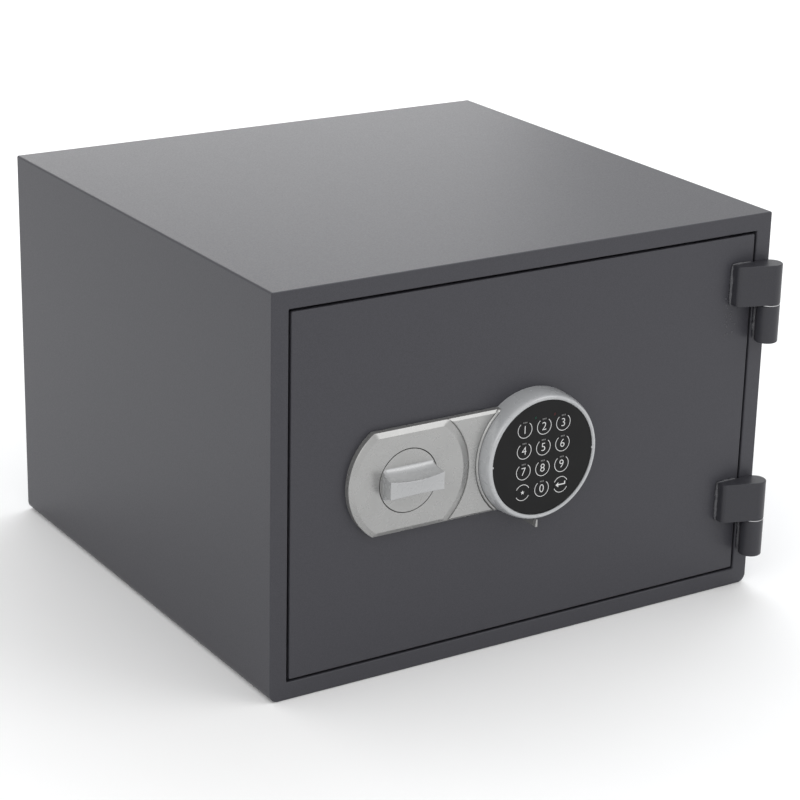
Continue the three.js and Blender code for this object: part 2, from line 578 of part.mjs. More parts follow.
const DRAWER = { halfW: 18, ys: [PLATE_FOOT - 13.2, PLATE_FOOT - 1.2], z1: MID_Z + 6 };
const TAB = { xs: [-3.8, -2.3], front: FRONT - 17.5, back: PLATE_FOOT - 0.4, z0: MID_Z - 55.5 };
const BOARD_Y = [PLATE_FOOT - 14.9, PLATE_FOOT - 13.6];
const FACE_Y = [FRONT - FACE_HEIGHT, FRONT - FACE_HEIGHT + 1.6];

function housingOutside() {
  const top = FRONT - KEYPAD_HEIGHT;
  return turnedY([[0, PLATE_FOOT], [KEYPAD_BASE_R, PLATE_FOOT], [KEYPAD_BASE_R - 0.6, PLATE_FOOT - 6],
    [KEYPAD_R + 0.5, top + 3], [KEYPAD_R - 0.6, top + 0.8], [KEYPAD_R - 2, top], [0, top]], [0, MID_Z]);
}

function drawerMouth(clear) {
  return box([-DRAWER.halfW - clear, DRAWER.halfW + clear], [DRAWER.ys[0] - clear, DRAWER.ys[1] + clear],
    [MID_Z - 60, MID_Z - 30]);
}

function keypadHousing() {
  const centre = [0, MID_Z];
  const faceSeat = bar("y", KEYPAD_FACE_R + GAP, [FRONT - KEYPAD_HEIGHT - 1, FACE_Y[1] + GAP], centre, ROUND);
  const inside = bar("y", KEYPAD_FACE_R - 1.5, [FRONT - KEYPAD_HEIGHT, PLATE_FOOT - 0.8], centre, ROUND);
  return housingOutside().subtract(faceSeat).subtract(inside).subtract(drawerMouth(GAP))
    .subtract(cableBar(5, [FRONT - 10, FRONT + 1]));
}

function keyCentre(index) {
  const column = index % 3;
  const row = Math.floor(index / 3);
  return [(column - 1) * KEY_PITCH_X, MID_Z + (1.5 - row) * KEY_PITCH_Z];
}

const KEY_NAMES = ["1", "2", "3", "4", "5", "6", "7", "8", "9", "star", "0", "enter"];
const LEDS = { green: [-8, MID_Z + 32.8], red: [9.4, MID_Z + 32.8] };

function keypadFace() {
  let face = bar("y", KEYPAD_FACE_R, FACE_Y, [0, MID_Z], ROUND);
  KEY_NAMES.forEach((name, index) => {
    face = face.subtract(bar("y", KEY_R + 0.2, [FACE_Y[0] - 1, FACE_Y[1] + 1], keyCentre(index), SMALL_ROUND));
  });
  Object.values(LEDS).forEach((centre) => {
    face = face.subtract(bar("y", 1.4, [FACE_Y[0] - 1, FACE_Y[1] + 1], centre, 8));
  });
  return face;
}

function key(index) {
  return bar("y", KEY_R, [FACE_Y[0], FACE_Y[1] - 0.1], keyCentre(index), SMALL_ROUND);
}

function led(centre) {
  return bar("y", 1.1, [FACE_Y[0], BOARD_Y[0] - 0.1], centre, 8);
}

function keyBoard() {
  return bar("y", KEYPAD_FACE_R - 3, [BOARD_Y[0], BOARD_Y[1]], [0, MID_Z], 24)
    .subtract(cableBar(3, [FRONT - 20, FRONT]));
}

function keypadCable() {
  const route = new THREE.LineCurve3(new THREE.Vector3(CABLE.x, BOARD_Y[0] + 0.4, CABLE.z),
    new THREE.Vector3(CABLE.x, at(PAN_TOP + 5.5), CABLE.z));
  const section = new THREE.Shape();
  section.absarc(0, 0, CABLE.r, 0, 2 * Math.PI, false);
  return solid(new THREE.ExtrudeGeometry(section, { extrudePath: route, steps: 4, curveSegments: 8 }));
}

// Battery tray with three walls, a curved end that closes the mouth, and a thin pull tab below it.
function batteryDrawer() {
  const low = MID_Z - KEYPAD_BASE_R - 2;
  const end = housingOutside().intersect(box([-DRAWER.halfW, DRAWER.halfW], DRAWER.ys, [low, MID_Z - 43]));
  const tray = box([-DRAWER.halfW + 0.5, DRAWER.halfW - 0.5], DRAWER.ys, [MID_Z - 44.5, DRAWER.z1]);
  const well = box([-DRAWER.halfW + 1.5, DRAWER.halfW - 1.5], [DRAWER.ys[0] - 1, DRAWER.ys[1] - 0.8],
    [MID_Z - 42.5, DRAWER.z1 - 1]);
  return union(end, tray.subtract(well), pullTab());
}

// The tab passes through the mouth and reaches forward below the housing, with a bead at its front corner.
function pullTab() {
  const stalk = box(TAB.xs, DRAWER.ys, [TAB.z0, MID_Z - 46]);
  const blade = box(TAB.xs, [TAB.front, TAB.back], [TAB.z0, MID_Z - 51]);
  const nose = box(TAB.xs, [TAB.front, DRAWER.ys[0] + 0.5], [TAB.z0, MID_Z - 49.7]);
  const bead = bar("z", 1.1, [TAB.z0, TAB.z0 + 2.4], [(TAB.xs[0] + TAB.xs[1]) / 2, TAB.front + 0.9], 12);
  return union(stalk, blade, nose, bead);
}

function battery() {
  return box([-15.9, 15.9], [DRAWER.ys[0] + 0.3, DRAWER.ys[1] - 1.2], [MID_Z - 42, DRAWER.z1 - 1.5]);
}

// ---------------------------------------------------------------- assembly

addPiece("body_shell", bodyShell(), steelPaint);
addPiece("back_panel", backPanel(), steelPaint);
addPiece("body_insulation", bodyInsulation(), mineral);
addPiece("jamb_frame", jambFrame(), steelPaint);
addPiece("inner_liner", innerLiner(), linerPaint);
addPiece("anchor_sleeve", anchorSleeve(), bareSteel);
addPiece("anchor_plug", anchorPlug(), blackPlastic);
for (const [place, seam] of Object.entries(HINGE_SEAMS)) {
  addPiece(`hinge_leaf_${place}`, hingeLeaf(seam), steelPaint);
  addPiece(`hinge_knuckle_${place}`, hingeKnuckle(seam), steelPaint);
  addPiece(`hinge_pin_${place}`, hingePin(seam), bareSteel);
  addPiece(`hinge_washer_${place}`, hingeWasher(seam), bareSteel);
}

addPiece("door_panel", doorPanel(), steelPaint);
addPiece("door_insulation", doorInsulation(), mineral);
addPiece("door_pan", doorPan(), steelPaint);
addPiece("door_cover", doorCover(), linerPaint);
addPiece("door_seal", doorSeal(), rubber);
addPiece("dog_bar", dogBar(), zincSteel);
SCREWS.forEach((place, index) => addPiece(`cover_screw_${index + 1}`, coverScrew(place), zincSteel));

addPiece("bolt_guide", boltGuide(), zincSteel);
addPiece("guide_stud_upper", guideStud(1), zincSteel);
addPiece("guide_stud_lower", guideStud(-1), zincSteel);
addPiece("spindle_bush", spindleBush(), brass);
addPiece("bolt_carriage", boltCarriage(), zincSteel);
addPiece("live_bolt_upper", liveBolt(1), bareSteel);
addPiece("live_bolt_lower", liveBolt(-1), bareSteel);
addPiece("lock_case", lockCase(), zincSteel);
addPiece("lock_bolt", lockBolt(), brass);

addPiece("knob", knob(), silverPaint);
addPiece("spindle", spindle(), bareSteel);
addPiece("cam", cam(), zincSteel);

addPiece("lock_plate", lockPlate(), silverPaint);
addPiece("keypad_housing", keypadHousing(), silverPaint);
addPiece("keypad_face", keypadFace(), blackPlastic);
addPiece("key_board", keyBoard(), boardGreen);
addPiece("keypad_cable", keypadCable(), rubber);
addPiece("led_green", led(LEDS.green), { color: 0x2f6b4a, roughness: 0.3, metalness: 0 });
addPiece("led_red", led(LEDS.red), { color: 0x7a2f2c, roughness: 0.3, metalness: 0 });
KEY_NAMES.forEach((name, index) => addPiece(`key_${name}`, key(index), blackPlastic));
addPiece("battery_drawer", batteryDrawer(), silverPaint);
addPiece("battery", battery(), blackPlastic);

export default safe;
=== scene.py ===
"""In-room safe: the visible surfaces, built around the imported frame.

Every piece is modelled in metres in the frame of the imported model: +X right, +Y back, +Z up,
with the origin at the centre of the base. Lengths named here are written in millimetres times MM.
"""
import json
import math
import random

import bmesh
import bpy
from mathutils import Matrix, Vector, noise


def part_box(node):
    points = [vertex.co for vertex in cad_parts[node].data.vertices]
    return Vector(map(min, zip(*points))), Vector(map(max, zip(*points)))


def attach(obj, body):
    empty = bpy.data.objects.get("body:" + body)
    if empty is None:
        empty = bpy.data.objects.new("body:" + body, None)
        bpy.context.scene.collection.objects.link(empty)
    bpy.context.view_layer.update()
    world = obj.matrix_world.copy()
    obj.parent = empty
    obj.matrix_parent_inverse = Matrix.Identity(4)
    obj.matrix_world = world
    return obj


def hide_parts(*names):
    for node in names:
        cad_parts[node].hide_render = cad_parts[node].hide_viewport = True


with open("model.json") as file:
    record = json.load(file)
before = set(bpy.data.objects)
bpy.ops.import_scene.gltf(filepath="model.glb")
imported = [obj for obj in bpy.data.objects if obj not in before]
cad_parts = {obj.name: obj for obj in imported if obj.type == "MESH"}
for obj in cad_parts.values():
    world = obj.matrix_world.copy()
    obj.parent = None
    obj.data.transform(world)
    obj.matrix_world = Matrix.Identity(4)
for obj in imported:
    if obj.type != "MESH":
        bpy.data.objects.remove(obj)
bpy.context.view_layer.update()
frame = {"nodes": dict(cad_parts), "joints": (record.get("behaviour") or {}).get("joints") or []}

# ---------------------------------------------------------------- driving values

MM = 0.001
EPS = 1e-6

# camera: at the photograph's viewing angle, aimed by azimuth, elevation and roll
CAMERA_AT = Vector((-1.0108, -1.6094, 0.8196))
CAMERA_AZIMUTH = math.radians(-32.633)
CAMERA_ELEVATION = math.radians(19.971)
CAMERA_ROLL = math.radians(1.3307)
CAMERA_LENS = 110.56

# places that come from the frame
JOINTS = {joint["name"]: joint for joint in frame["joints"]}
BODY_LO, BODY_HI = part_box("body_shell")
DOOR_LO, DOOR_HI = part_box("door_panel")
FRONT = BODY_LO.y
BACK = BODY_HI.y
MID_Z = (BODY_LO.z + BODY_HI.z) / 2
HINGE = Vector(JOINTS["door_hinge"]["pos_m"])
KNOB = Vector(JOINTS["knob_turn"]["pos_m"])
KEYPAD_LO, KEYPAD_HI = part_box("keypad_housing")
KEYPAD = (KEYPAD_LO + KEYPAD_HI) / 2
PLATE_LO, PLATE_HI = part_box("lock_plate")
KNOB_LO, KNOB_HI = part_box("knob")
DRAWER_LO, DRAWER_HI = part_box("battery_drawer")
FACE_LO, FACE_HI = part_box("keypad_face")
FOOT = KEYPAD_HI.y                      # plane that the lock's outer pieces stand on
LEAF_LO, LEAF_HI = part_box("hinge_leaf_upper")
HINGE_R = LEAF_HI.x - HINGE.x

# sheet and edges
SHEET = 2 * MM
FRAME_BORDER = 14 * MM
LIP_DEPTH = 24 * MM
EDGE_R = 1.1 * MM
BOTTOM_R = 7 * MM
TOP_R = 1.5 * MM
CORNER_STEPS = 10

PLACES = ("upper", "lower")             # hinges, bolts and guide studs come in pairs


# ---------------------------------------------------------------- mesh helpers

def new_object(name, verts, faces):
    mesh = bpy.data.meshes.new(name)
    mesh.from_pydata([tuple(v) for v in verts], [], faces)
    mesh.update()
    obj = bpy.data.objects.new(name, mesh)
    bpy.context.scene.collection.objects.link(obj)
    return obj


def face_outwards(obj):
    bm = bmesh.new()
    bm.from_mesh(obj.data)
    bmesh.ops.remove_doubles(bm, verts=bm.verts, dist=EPS)
    bmesh.ops.recalc_face_normals(bm, faces=bm.faces)
    if bm.calc_volume(signed=True) < 0:
        bmesh.ops.reverse_faces(bm, faces=bm.faces)
    bm.to_mesh(obj.data)
    bm.free()


def loft(name, loops, cap_start=False, cap_end=False, closed=False):
    """A skin through loops of equal length; it ends in caps, or joins its last loop to its first."""
    count = len(loops[0])
    verts = [point for loop in loops for point in loop]
    faces = []
    rows = len(loops) if closed else len(loops) - 1
    for row in range(rows):
        here = row * count
        there = ((row + 1) % len(loops)) * count
        for i in range(count):
            j = (i + 1) % count
            faces.append((here + i, here + j, there + j, there + i))
    if cap_start:
        faces.append(tuple(reversed(range(count))))
    if cap_end:
        faces.append(tuple(range((len(loops) - 1) * count, len(loops) * count)))
    obj = new_object(name, verts, faces)
    face_outwards(obj)
    return obj


def lathe(name, profile, centre, axis="y", steps=96):
    """Turns a closed (radius, station) profile about a line through centre, along y or z."""
    loops = []
    for radius, station in profile:
        loop = []
        for i in range(steps):
            angle = 2 * math.pi * i / steps
            u, v = radius * math.cos(angle), radius * math.sin(angle)
            if axis == "y":
                loop.append((centre[0] + u, station, centre[2] + v))
            else:
                loop.append((centre[0] + u, centre[1] + v, station))
        loops.append(loop)
    on_axis = profile[0][0] < EPS
    return loft(name, loops, closed=not on_axis)


def tidy_shading(obj, angle=38):
    """Smooth shading that keeps flat faces flat."""
    obj.data.shade_smooth()
    obj.data.set_sharp_from_angle(angle=math.radians(angle))
    weighted = obj.modifiers.new("normals", "WEIGHTED_NORMAL")
    weighted.keep_sharp = True
    weighted.weight = 90


def bevel(obj, width, segments=3, angle=40):
    mod = obj.modifiers.new("bevel", "BEVEL")
    mod.width = width
    mod.segments = segments
    mod.limit_method = "ANGLE"
    mod.angle_limit = math.radians(angle)
    mod.miter_outer = "MITER_ARC"


def apply_modifiers(obj):
    graph = bpy.context.evaluated_depsgraph_get()
    mesh = bpy.data.meshes.new_from_object(obj.evaluated_get(graph))
    old = obj.data
    obj.modifiers.clear()
    obj.data = mesh
    bpy.data.meshes.remove(old)


def cut(obj, cutter):
    """Takes the cutter's volume out of obj and deletes the cutter."""
    mod = obj.modifiers.new("cut", "BOOLEAN")
    mod.operation = "DIFFERENCE"
    mod.solver = "EXACT"
    mod.object = cutter
    bpy.context.view_layer.update()
    apply_modifiers(obj)
    bpy.data.objects.remove(cutter)


def box_solid(name, lo, hi):
    xs, ys, zs = zip(lo, hi)
    verts = [(xs[i], ys[j], zs[k]) for i in (0, 1) for j in (0, 1) for k in (0, 1)]
    faces = [(0, 1, 3, 2), (4, 6, 7, 5), (0, 4, 5, 1), (2, 3, 7, 6), (0, 2, 6, 4), (1, 5, 7, 3)]
    obj = new_object(name, verts, faces)
    face_outwards(obj)
    return obj


def rod_solid(name, centre, radius, stations, axis="y", steps=48):
    profile = [(0, stations[0]), (radius, stations[0]), (radius, stations[1]), (0, stations[1])]
    return lathe(name, profile, centre, axis, steps)


def join_pieces(name, parts):
    bm = bmesh.new()
    for part in parts:
        bm.from_mesh(part.data)
        bpy.data.objects.remove(part)
    mesh = bpy.data.meshes.new(name)
    bm.to_mesh(mesh)
    bm.free()
    obj = bpy.data.objects.new(name, mesh)
    bpy.context.scene.collection.objects.link(obj)
    return obj


def settle(obj, body, material, nodes=()):
    """Gives a finished piece its material and body, and hides the CAD nodes that it stands for."""
    obj.data.materials.clear()
    obj.data.materials.append(material)
    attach(obj, body)
    if nodes:
        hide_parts(*nodes)
    return obj


# ---------------------------------------------------------------- material helpers

class Shader:
    """A principled material and short calls for its nodes."""

    def __init__(self, name, **values):
        self.material = bpy.data.materials.new(name)
        self.material.use_nodes = True
        self.tree = self.material.node_tree
        self.surface = self.tree.nodes["Principled BSDF"]
        for socket, value in values.items():
            self.surface.inputs[socket.replace("_", " ")].default_value = value
        self.place = self.tree.nodes.new("ShaderNodeTexCoord").outputs["Object"]

    def link(self, source, target):
        self.tree.links.new(source, target)

    def noise(self, scale, detail=2.0, roughness=0.5, stretch=None):
        node = self.tree.nodes.new("ShaderNodeTexNoise")
        node.inputs["Scale"].default_value = scale
        node.inputs["Detail"].default_value = detail
        node.inputs["Roughness"].default_value = roughness
        source = self.place
        if stretch:
            mapping = self.tree.nodes.new("ShaderNodeMapping")
            mapping.inputs["Scale"].default_value = stretch
            self.link(self.place, mapping.inputs["Vector"])
            source = mapping.outputs["Vector"]
        self.link(source, node.inputs["Vector"])
        return node.outputs["Fac"]

    def cells(self, scale):
        node = self.tree.nodes.new("ShaderNodeTexVoronoi")
        node.inputs["Scale"].default_value = scale
        self.link(self.place, node.inputs["Vector"])
        return node.outputs["Distance"]

    def product(self, first, second):
        node = self.tree.nodes.new("ShaderNodeMath")
        node.operation = "MULTIPLY"
        self.link(first, node.inputs[0])
        self.link(second, node.inputs[1])
        return node.outputs[0]

    def remap(self, source, low, high, to_low, to_high):
        node = self.tree.nodes.new("ShaderNodeMapRange")
        node.inputs["From Min"].default_value = low
        node.inputs["From Max"].default_value = high
        node.inputs["To Min"].default_value = to_low
        node.inputs["To Max"].default_value = to_high
        self.link(source, node.inputs["Value"])
        return node.outputs["Result"]

    def mix(self, factor, first, second):
        node = self.tree.nodes.new("ShaderNodeMix")
        node.data_type = "RGBA"
        self.link(factor, node.inputs["Factor"])
        for value, socket in ((first, node.inputs[6]), (second, node.inputs[7])):
            if isinstance(value, tuple):
                socket.default_value = (*value, 1)
            else:
                self.link(value, socket)
        return node.outputs[2]

    def colour(self, source):
        self.link(source, self.surface.inputs["Base Color"])

    def roughness(self, source):
        self.link(source, self.surface.inputs["Roughness"])

    def bumps(self, *layers):
        """Layers of (height source, distance in metres, strength), one on top of the other."""
        normal = None
        for source, distance, strength in layers:
            node = self.tree.nodes.new("ShaderNodeBump")
            node.inputs["Distance"].default_value = distance
            node.inputs["Strength"].default_value = strength
            self.link(source, node.inputs["Height"])
            if normal:
                self.link(normal, node.inputs["Normal"])
            normal = node.outputs["Normal"]
        self.link(normal, self.surface.inputs["Normal"])


def shade(rgb, factor):
    return tuple(channel * factor for channel in rgb)


# ---------------------------------------------------------------- materials

def powder_coat(name, rgb, roughness, peel=1.0):
    """Baked powder paint: orange peel, a finer grain, soft tone changes and a few light specks."""
    shader = Shader(name, Metallic=0.0)
    shader.surface.inputs["Specular IOR Level"].default_value = 0.3
    tone = shader.remap(shader.noise(9, 3), 0.35, 0.65, 0, 1)
    base = shader.mix(tone, shade(rgb, 0.98), shade(rgb, 1.03))
    grain = shader.remap(shader.noise(1500, 2), 0.35, 0.68, 0, 1)
    grained = shader.mix(grain, shade(rgb, 0.92), shade(rgb, 1.3))
    grained = shader.mix(shader.remap(tone, 0, 1, 0.25, 0.35), grained, base)
    speck = shader.remap(shader.cells(105), 0.022, 0.034, 1, 0)
    rare = shader.remap(shader.noise(31, 1), 0.56, 0.62, 0, 0.5)
    shader.colour(shader.mix(shader.product(speck, rare), grained, shade(rgb, 3.2)))
    shader.roughness(shader.remap(shader.noise(900, 3), 0.3, 0.7, roughness - 0.04, roughness + 0.05))
    shader.bumps((shader.noise(620, 2), 0.07 * MM, 0.6 * peel),
                 (shader.noise(1900, 2), 0.03 * MM, 0.6 * peel))
    return shader.material


def metal(name, rgb, roughness, grain=(1, 1, 1), scale=900):
    """Bare or plated metal with drawn grain, fine scratches and uneven tarnish."""
    shader = Shader(name, Metallic=1.0)
    cloud = shader.remap(shader.noise(45, 4), 0.3, 0.7, 0, 1)
    shader.colour(shader.mix(cloud, shade(rgb, 0.86), shade(rgb, 1.08)))
    streak = shader.noise(scale, 3, 0.6, stretch=grain)
    shader.roughness(shader.remap(streak, 0.3, 0.7, roughness - 0.07, roughness + 0.1))
    shader.bumps((streak, 0.012 * MM, 0.5), (shader.noise(300, 2), 0.02 * MM, 0.3))
    return shader.material


def silver_lacquer(name, rgb, metallic, coat):
    """Satin silver paint over a casting: fine flake, faint pearl tone, slight waves and a clear coat."""
    shader = Shader(name, Metallic=metallic, Coat_Weight=coat, Coat_Roughness=0.14)
    flake = shader.remap(shader.cells(5200), 0.05, 0.6, 0.8, 1)
    cloud = shader.remap(shader.noise(40, 3), 0.35, 0.65, 0, 1)
    tone = shader.mix(cloud, shade(rgb, 0.98), shade(rgb, 1.02))
    shader.colour(shader.mix(flake, shade(rgb, 1.02), tone))
    shader.roughness(shader.remap(shader.noise(90, 2), 0.3, 0.7, 0.26, 0.29))
    shader.bumps((shader.noise(140, 1), 0.006 * MM, 0.12),)
    return shader.material


def film(name, rgb, roughness, gloss=0.5):
    """Printed plastic film: very fine pearl texture and faint finger smears."""
    shader = Shader(name, Metallic=0.0)
    shader.surface.inputs["Specular IOR Level"].default_value = gloss
    smear = shader.remap(shader.noise(55, 3, stretch=(1, 1, 0.5)), 0.35, 0.65, 0, 1)
    shader.colour(shader.mix(smear, rgb, shade(rgb, 1.15)))
    shader.roughness(shader.remap(shader.noise(80, 4), 0.3, 0.7, roughness - 0.05, roughness + 0.06))
    shader.bumps((shader.noise(3200, 1), 0.004 * MM, 0.5),)
    return shader.material


def moulded(name, rgb, roughness, texture=0.02):
    """Moulded plastic or rubber with a fine spark-eroded surface."""
    shader = Shader(name, Metallic=0.0)
    cloud = shader.remap(shader.noise(70, 3), 0.35, 0.65, 0, 1)
    shader.colour(shader.mix(cloud, shade(rgb, 0.9), shade(rgb, 1.12)))
    shader.roughness(shader.remap(shader.noise(500, 3), 0.3, 0.7, roughness - 0.05, roughness + 0.07))
    shader.bumps((shader.noise(1500, 3), texture * MM, 0.6),)
    return shader.material


def mineral_filling():
    rgb = (0.55, 0.52, 0.46)
    shader = Shader("mineral_filling", Metallic=0.0, Roughness=0.95)
    cloud = shader.remap(shader.noise(120, 5), 0.3, 0.7, 0, 1)
    shader.colour(shader.mix(cloud, shade(rgb, 0.82), shade(rgb, 1.1)))
    shader.bumps((shader.noise(400, 5), 0.4 * MM, 0.8),)
    return shader.material


PAINT = powder_coat("anthracite_powder_coat", (0.0418, 0.0416, 0.0488), 0.38)
LINER_PAINT = powder_coat("grey_liner_paint", (0.24, 0.25, 0.26), 0.5, 0.8)
HINGE_PAINT = powder_coat("hinge_powder_coat", (0.0325, 0.0325, 0.0380), 0.36)
# welds carry the same anthracite powder coat, but their colour is lighter than the door's: a painted
# highlight for the glints on the rough welds and the corner by the hinge leaf
WELD_WITH_PAINTED_GLINTS = powder_coat("weld_with_painted_glints", (0.078, 0.078, 0.085), 0.28, 1.6)
SILVER = silver_lacquer("silver_lacquer", (0.356, 0.356, 0.351), 0.62, 0)
GRIP_SILVER = silver_lacquer("grip_lacquer", (0.378, 0.383, 0.388), 0.30, 0.6)
HOUSING_SILVER = silver_lacquer("housing_lacquer", (0.410, 0.418, 0.428), 0.10, 0.8)
BARE = metal("bare_steel", (0.55, 0.55, 0.56), 0.3, grain=(1, 1, 0.15))
ZINC = metal("zinc_plated_steel", (0.62, 0.61, 0.55), 0.36, grain=(0.2, 1, 1), scale=700)
BRASS = metal("brass", (0.62, 0.44, 0.18), 0.32)
FILM = film("black_key_film", (0.006, 0.006, 0.0063), 0.38, 0.17)
PRINT = film("white_print", (0.57, 0.57, 0.57), 0.5, 0.3)
FINE_PRINT = film("grey_print", (0.16, 0.16, 0.16), 0.5, 0.3)
RUBBER = moulded("seal_rubber", (0.018, 0.018, 0.018), 0.75, 0.04)
BLACK_PLASTIC = moulded("black_plastic", (0.02, 0.02, 0.021), 0.5)
BOARD = moulded("circuit_board", (0.012, 0.11, 0.045), 0.35)
GREEN_LENS = film("green_lens", (0.006, 0.032, 0.022), 0.3, 0.2)
RED_LENS = film("red_lens", (0.045, 0.01, 0.01), 0.3, 0.2)
CELL_JACKET = film("cell_jacket", (0.03, 0.035, 0.06), 0.3)
FILLING = mineral_filling()


# ---------------------------------------------------------------- cabinet

def corner_arc(cx, cz, radius, start, steps=CORNER_STEPS):
    """Points of a quarter turn about (cx, cz) that begins at the angle start, in degrees."""
    points = []
    for i in range(steps + 1):
        angle = math.radians(start + 90 * i / steps)
        points.append((cx + radius * math.cos(angle), cz + radius * math.sin(angle)))
    return points


def rounded_loop(half_w, low, high, r_low, r_high, y):
    """A rectangle in x and z with rounded corners, at one y."""
    r_low = max(r_low, 0.05 * MM)
    r_high = max(r_high, 0.05 * MM)
    points = corner_arc(half_w - r_low, low + r_low, r_low, -90)
    points += corner_arc(half_w - r_high, high - r_high, r_high, 0)
    points += corner_arc(-half_w + r_high, high - r_high, r_high, 90)
    points += corner_arc(-half_w + r_low, low + r_low, r_low, 180)
    return [(x, y, z) for x, z in points]


def body_loop(inset, y):
    half_w = BODY_HI.x - inset
    return rounded_loop(half_w, inset, BODY_HI.z - inset, BOTTOM_R - inset, TOP_R - inset, y)


def opening_loop(outset, y, radius=0.8 * MM):
    half_w = BODY_HI.x - FRAME_BORDER + outset
    half_h = MID_Z - FRAME_BORDER + outset
    return rounded_loop(half_w, MID_Z - half_h, MID_Z + half_h, radius, radius, y)


def quarter(steps=4):
    """Sine and one minus cosine of a quarter turn, for rounding an edge."""
    for i in range(1, steps + 1):
        angle = math.pi / 2 * i / steps
        yield math.sin(angle), 1 - math.cos(angle)


def build_body_shell():
    loops = [body_loop(SHEET, BACK), body_loop(0.3 * MM, BACK), body_loop(0, BACK - 0.3 * MM)]
    loops.append(body_loop(0, FRONT + EDGE_R))
    for sine, rise in quarter():
        loops.append(body_loop(EDGE_R * rise, FRONT + EDGE_R * (1 - sine)))
    loops.append(opening_loop(EDGE_R, FRONT))
    for sine, rise in quarter():
        loops.append(opening_loop(EDGE_R * (1 - sine), FRONT + EDGE_R * rise))
    loops.append(opening_loop(0, FRONT + LIP_DEPTH))
    loops.append(opening_loop(SHEET, FRONT + LIP_DEPTH))
    loops.append(opening_loop(SHEET, FRONT + SHEET))
    loops.append(body_loop(SHEET, FRONT + SHEET))
    shell = loft("body_shell_visible", loops, closed=True)
    anchor = (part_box("anchor_sleeve")[0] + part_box("anchor_sleeve")[1]) / 2
    cut(shell, rod_solid("anchor_cutter", anchor, 7 * MM, (-5 * MM, 5 * MM), "z"))
    tidy_shading(shell)
    settle(shell, "cabinet", PAINT, ["body_shell"])


def refine(node, body, material, width=0.4 * MM, segments=2):
    """A copy of a CAD node with merged faces and softened edges, which stands for that node."""
    source = frame["nodes"][node]
    obj = bpy.data.objects.new(node + "_visible", source.data.copy())
    bpy.context.scene.collection.objects.link(obj)
    bm = bmesh.new()
    bm.from_mesh(obj.data)
    bmesh.ops.remove_doubles(bm, verts=bm.verts, dist=2 * EPS)
    bmesh.ops.dissolve_limit(bm, angle_limit=math.radians(0.5), verts=bm.verts, edges=bm.edges)
    bm.to_mesh(obj.data)
    bm.free()
    bevel(obj, width, segments)
    apply_modifiers(obj)
    tidy_shading(obj)
    return settle(obj, body, material, [node])


def build_cabinet_insides():
    refine("back_panel", "cabinet", PAINT, 0.5 * MM)
    refine("jamb_frame", "cabinet", PAINT, 0.5 * MM)
    refine("inner_liner", "cabinet", LINER_PAINT, 0.4 * MM)
    refine("anchor_plug", "cabinet", BLACK_PLASTIC, 0.5 * MM)
    refine("anchor_sleeve", "cabinet", BARE, 0.3 * MM)


# ---------------------------------------------------------------- hinges

LEAF_BACK = FRONT - 0.3 * MM
LEAF_END_DEPTH = 10 * MM
LEAF_CORNER_R = 4.2 * MM
HINGE_EDGE = 1.0 * MM
HINGE_BORE_R = 5.3 * MM
BEAD_STEPS = 56
BEAD_SIDES = 14
SPATTER_DROPS = 34


def arc_xy(cx, cy, radius, start, end, steps):
    points = []
    for i in range(steps + 1):
        angle = math.radians(start + (end - start) * i / steps)
        points.append((cx + radius * math.cos(angle), cy + radius * math.sin(angle)))
    return points


def leaf_outline():
    """Plan of a hinge leaf, anticlockwise: back, rounded left end, front slope and barrel."""
    left = LEAF_LO.x
    corner = (left + LEAF_CORNER_R, LEAF_BACK - LEAF_END_DEPTH + LEAF_CORNER_R)
    run = HINGE.x - corner[0]
    drop = corner[1] - HINGE.y
    slope = math.atan2(HINGE_R - LEAF_CORNER_R + drop, run)
    normal = -90 - math.degrees(slope) * 0.9
    points = [(HINGE.x, HINGE.y + HINGE_R)]
    back_r = HINGE_EDGE + 0.4 * MM
    points += arc_xy(left + back_r, LEAF_BACK - back_r, back_r, 90, 180, 5)
    points += arc_xy(corner[0], corner[1], LEAF_CORNER_R, 180, 360 + normal, 8)
    points += arc_xy(HINGE.x, HINGE.y, HINGE_R, 360 + normal, 450, 30)[:-1]
    return points


def inset_outline(points, distance):
    """Moves each point of a convex anticlockwise outline inwards."""
    moved = []
    count = len(points)
    for i, (x, y) in enumerate(points):
        before = Vector(points[i - 1])
        after = Vector(points[(i + 1) % count])
        along = (after - before).normalized()
        moved.append((x - along.y * distance, y + along.x * distance))
    return moved


def build_hinge_leaf(place):
    low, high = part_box("hinge_leaf_" + place)
    outline = leaf_outline()
    loops = [[(x, y, low.z) for x, y in inset_outline(outline, HINGE_EDGE)]]
    for sine, rise in quarter():
        inset = HINGE_EDGE * (1 - sine)
        loops.append([(x, y, low.z + HINGE_EDGE * rise) for x, y in inset_outline(outline, inset)])
    for sine, rise in quarter():
        inset = HINGE_EDGE * rise
        loops.append([(x, y, high.z - HINGE_EDGE * (1 - sine)) for x, y in inset_outline(outline, inset)])
    leaf = loft(f"hinge_leaf_{place}_visible", loops, cap_start=True, cap_end=True)
    bore_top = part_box("hinge_pin_" + place)[1].z + 1 * MM
    cut(leaf, rod_solid("bore", HINGE, HINGE_BORE_R, (low.z - 1 * MM, bore_top), "z"))
    tidy_shading(leaf)
    settle(leaf, "door", HINGE_PAINT, ["hinge_leaf_" + place])


def build_hinge_knuckle(place):
    low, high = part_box("hinge_knuckle_" + place)
    profile = [(HINGE_BORE_R, high.z), (HINGE_R - 0.5 * MM, high.z), (HINGE_R, high.z - 0.5 * MM)]
    profile += [(HINGE_R, low.z + HINGE_EDGE)]
    profile += [(HINGE_R - HINGE_EDGE * rise, low.z + HINGE_EDGE * (1 - sine)) for sine, rise in quarter()]
    profile += [(HINGE_BORE_R, low.z)]
    knuckle = lathe(f"hinge_knuckle_{place}_visible", profile, HINGE, "z", 48)
    tidy_shading(knuckle)
    settle(knuckle, "cabinet", HINGE_PAINT, ["hinge_knuckle_" + place])


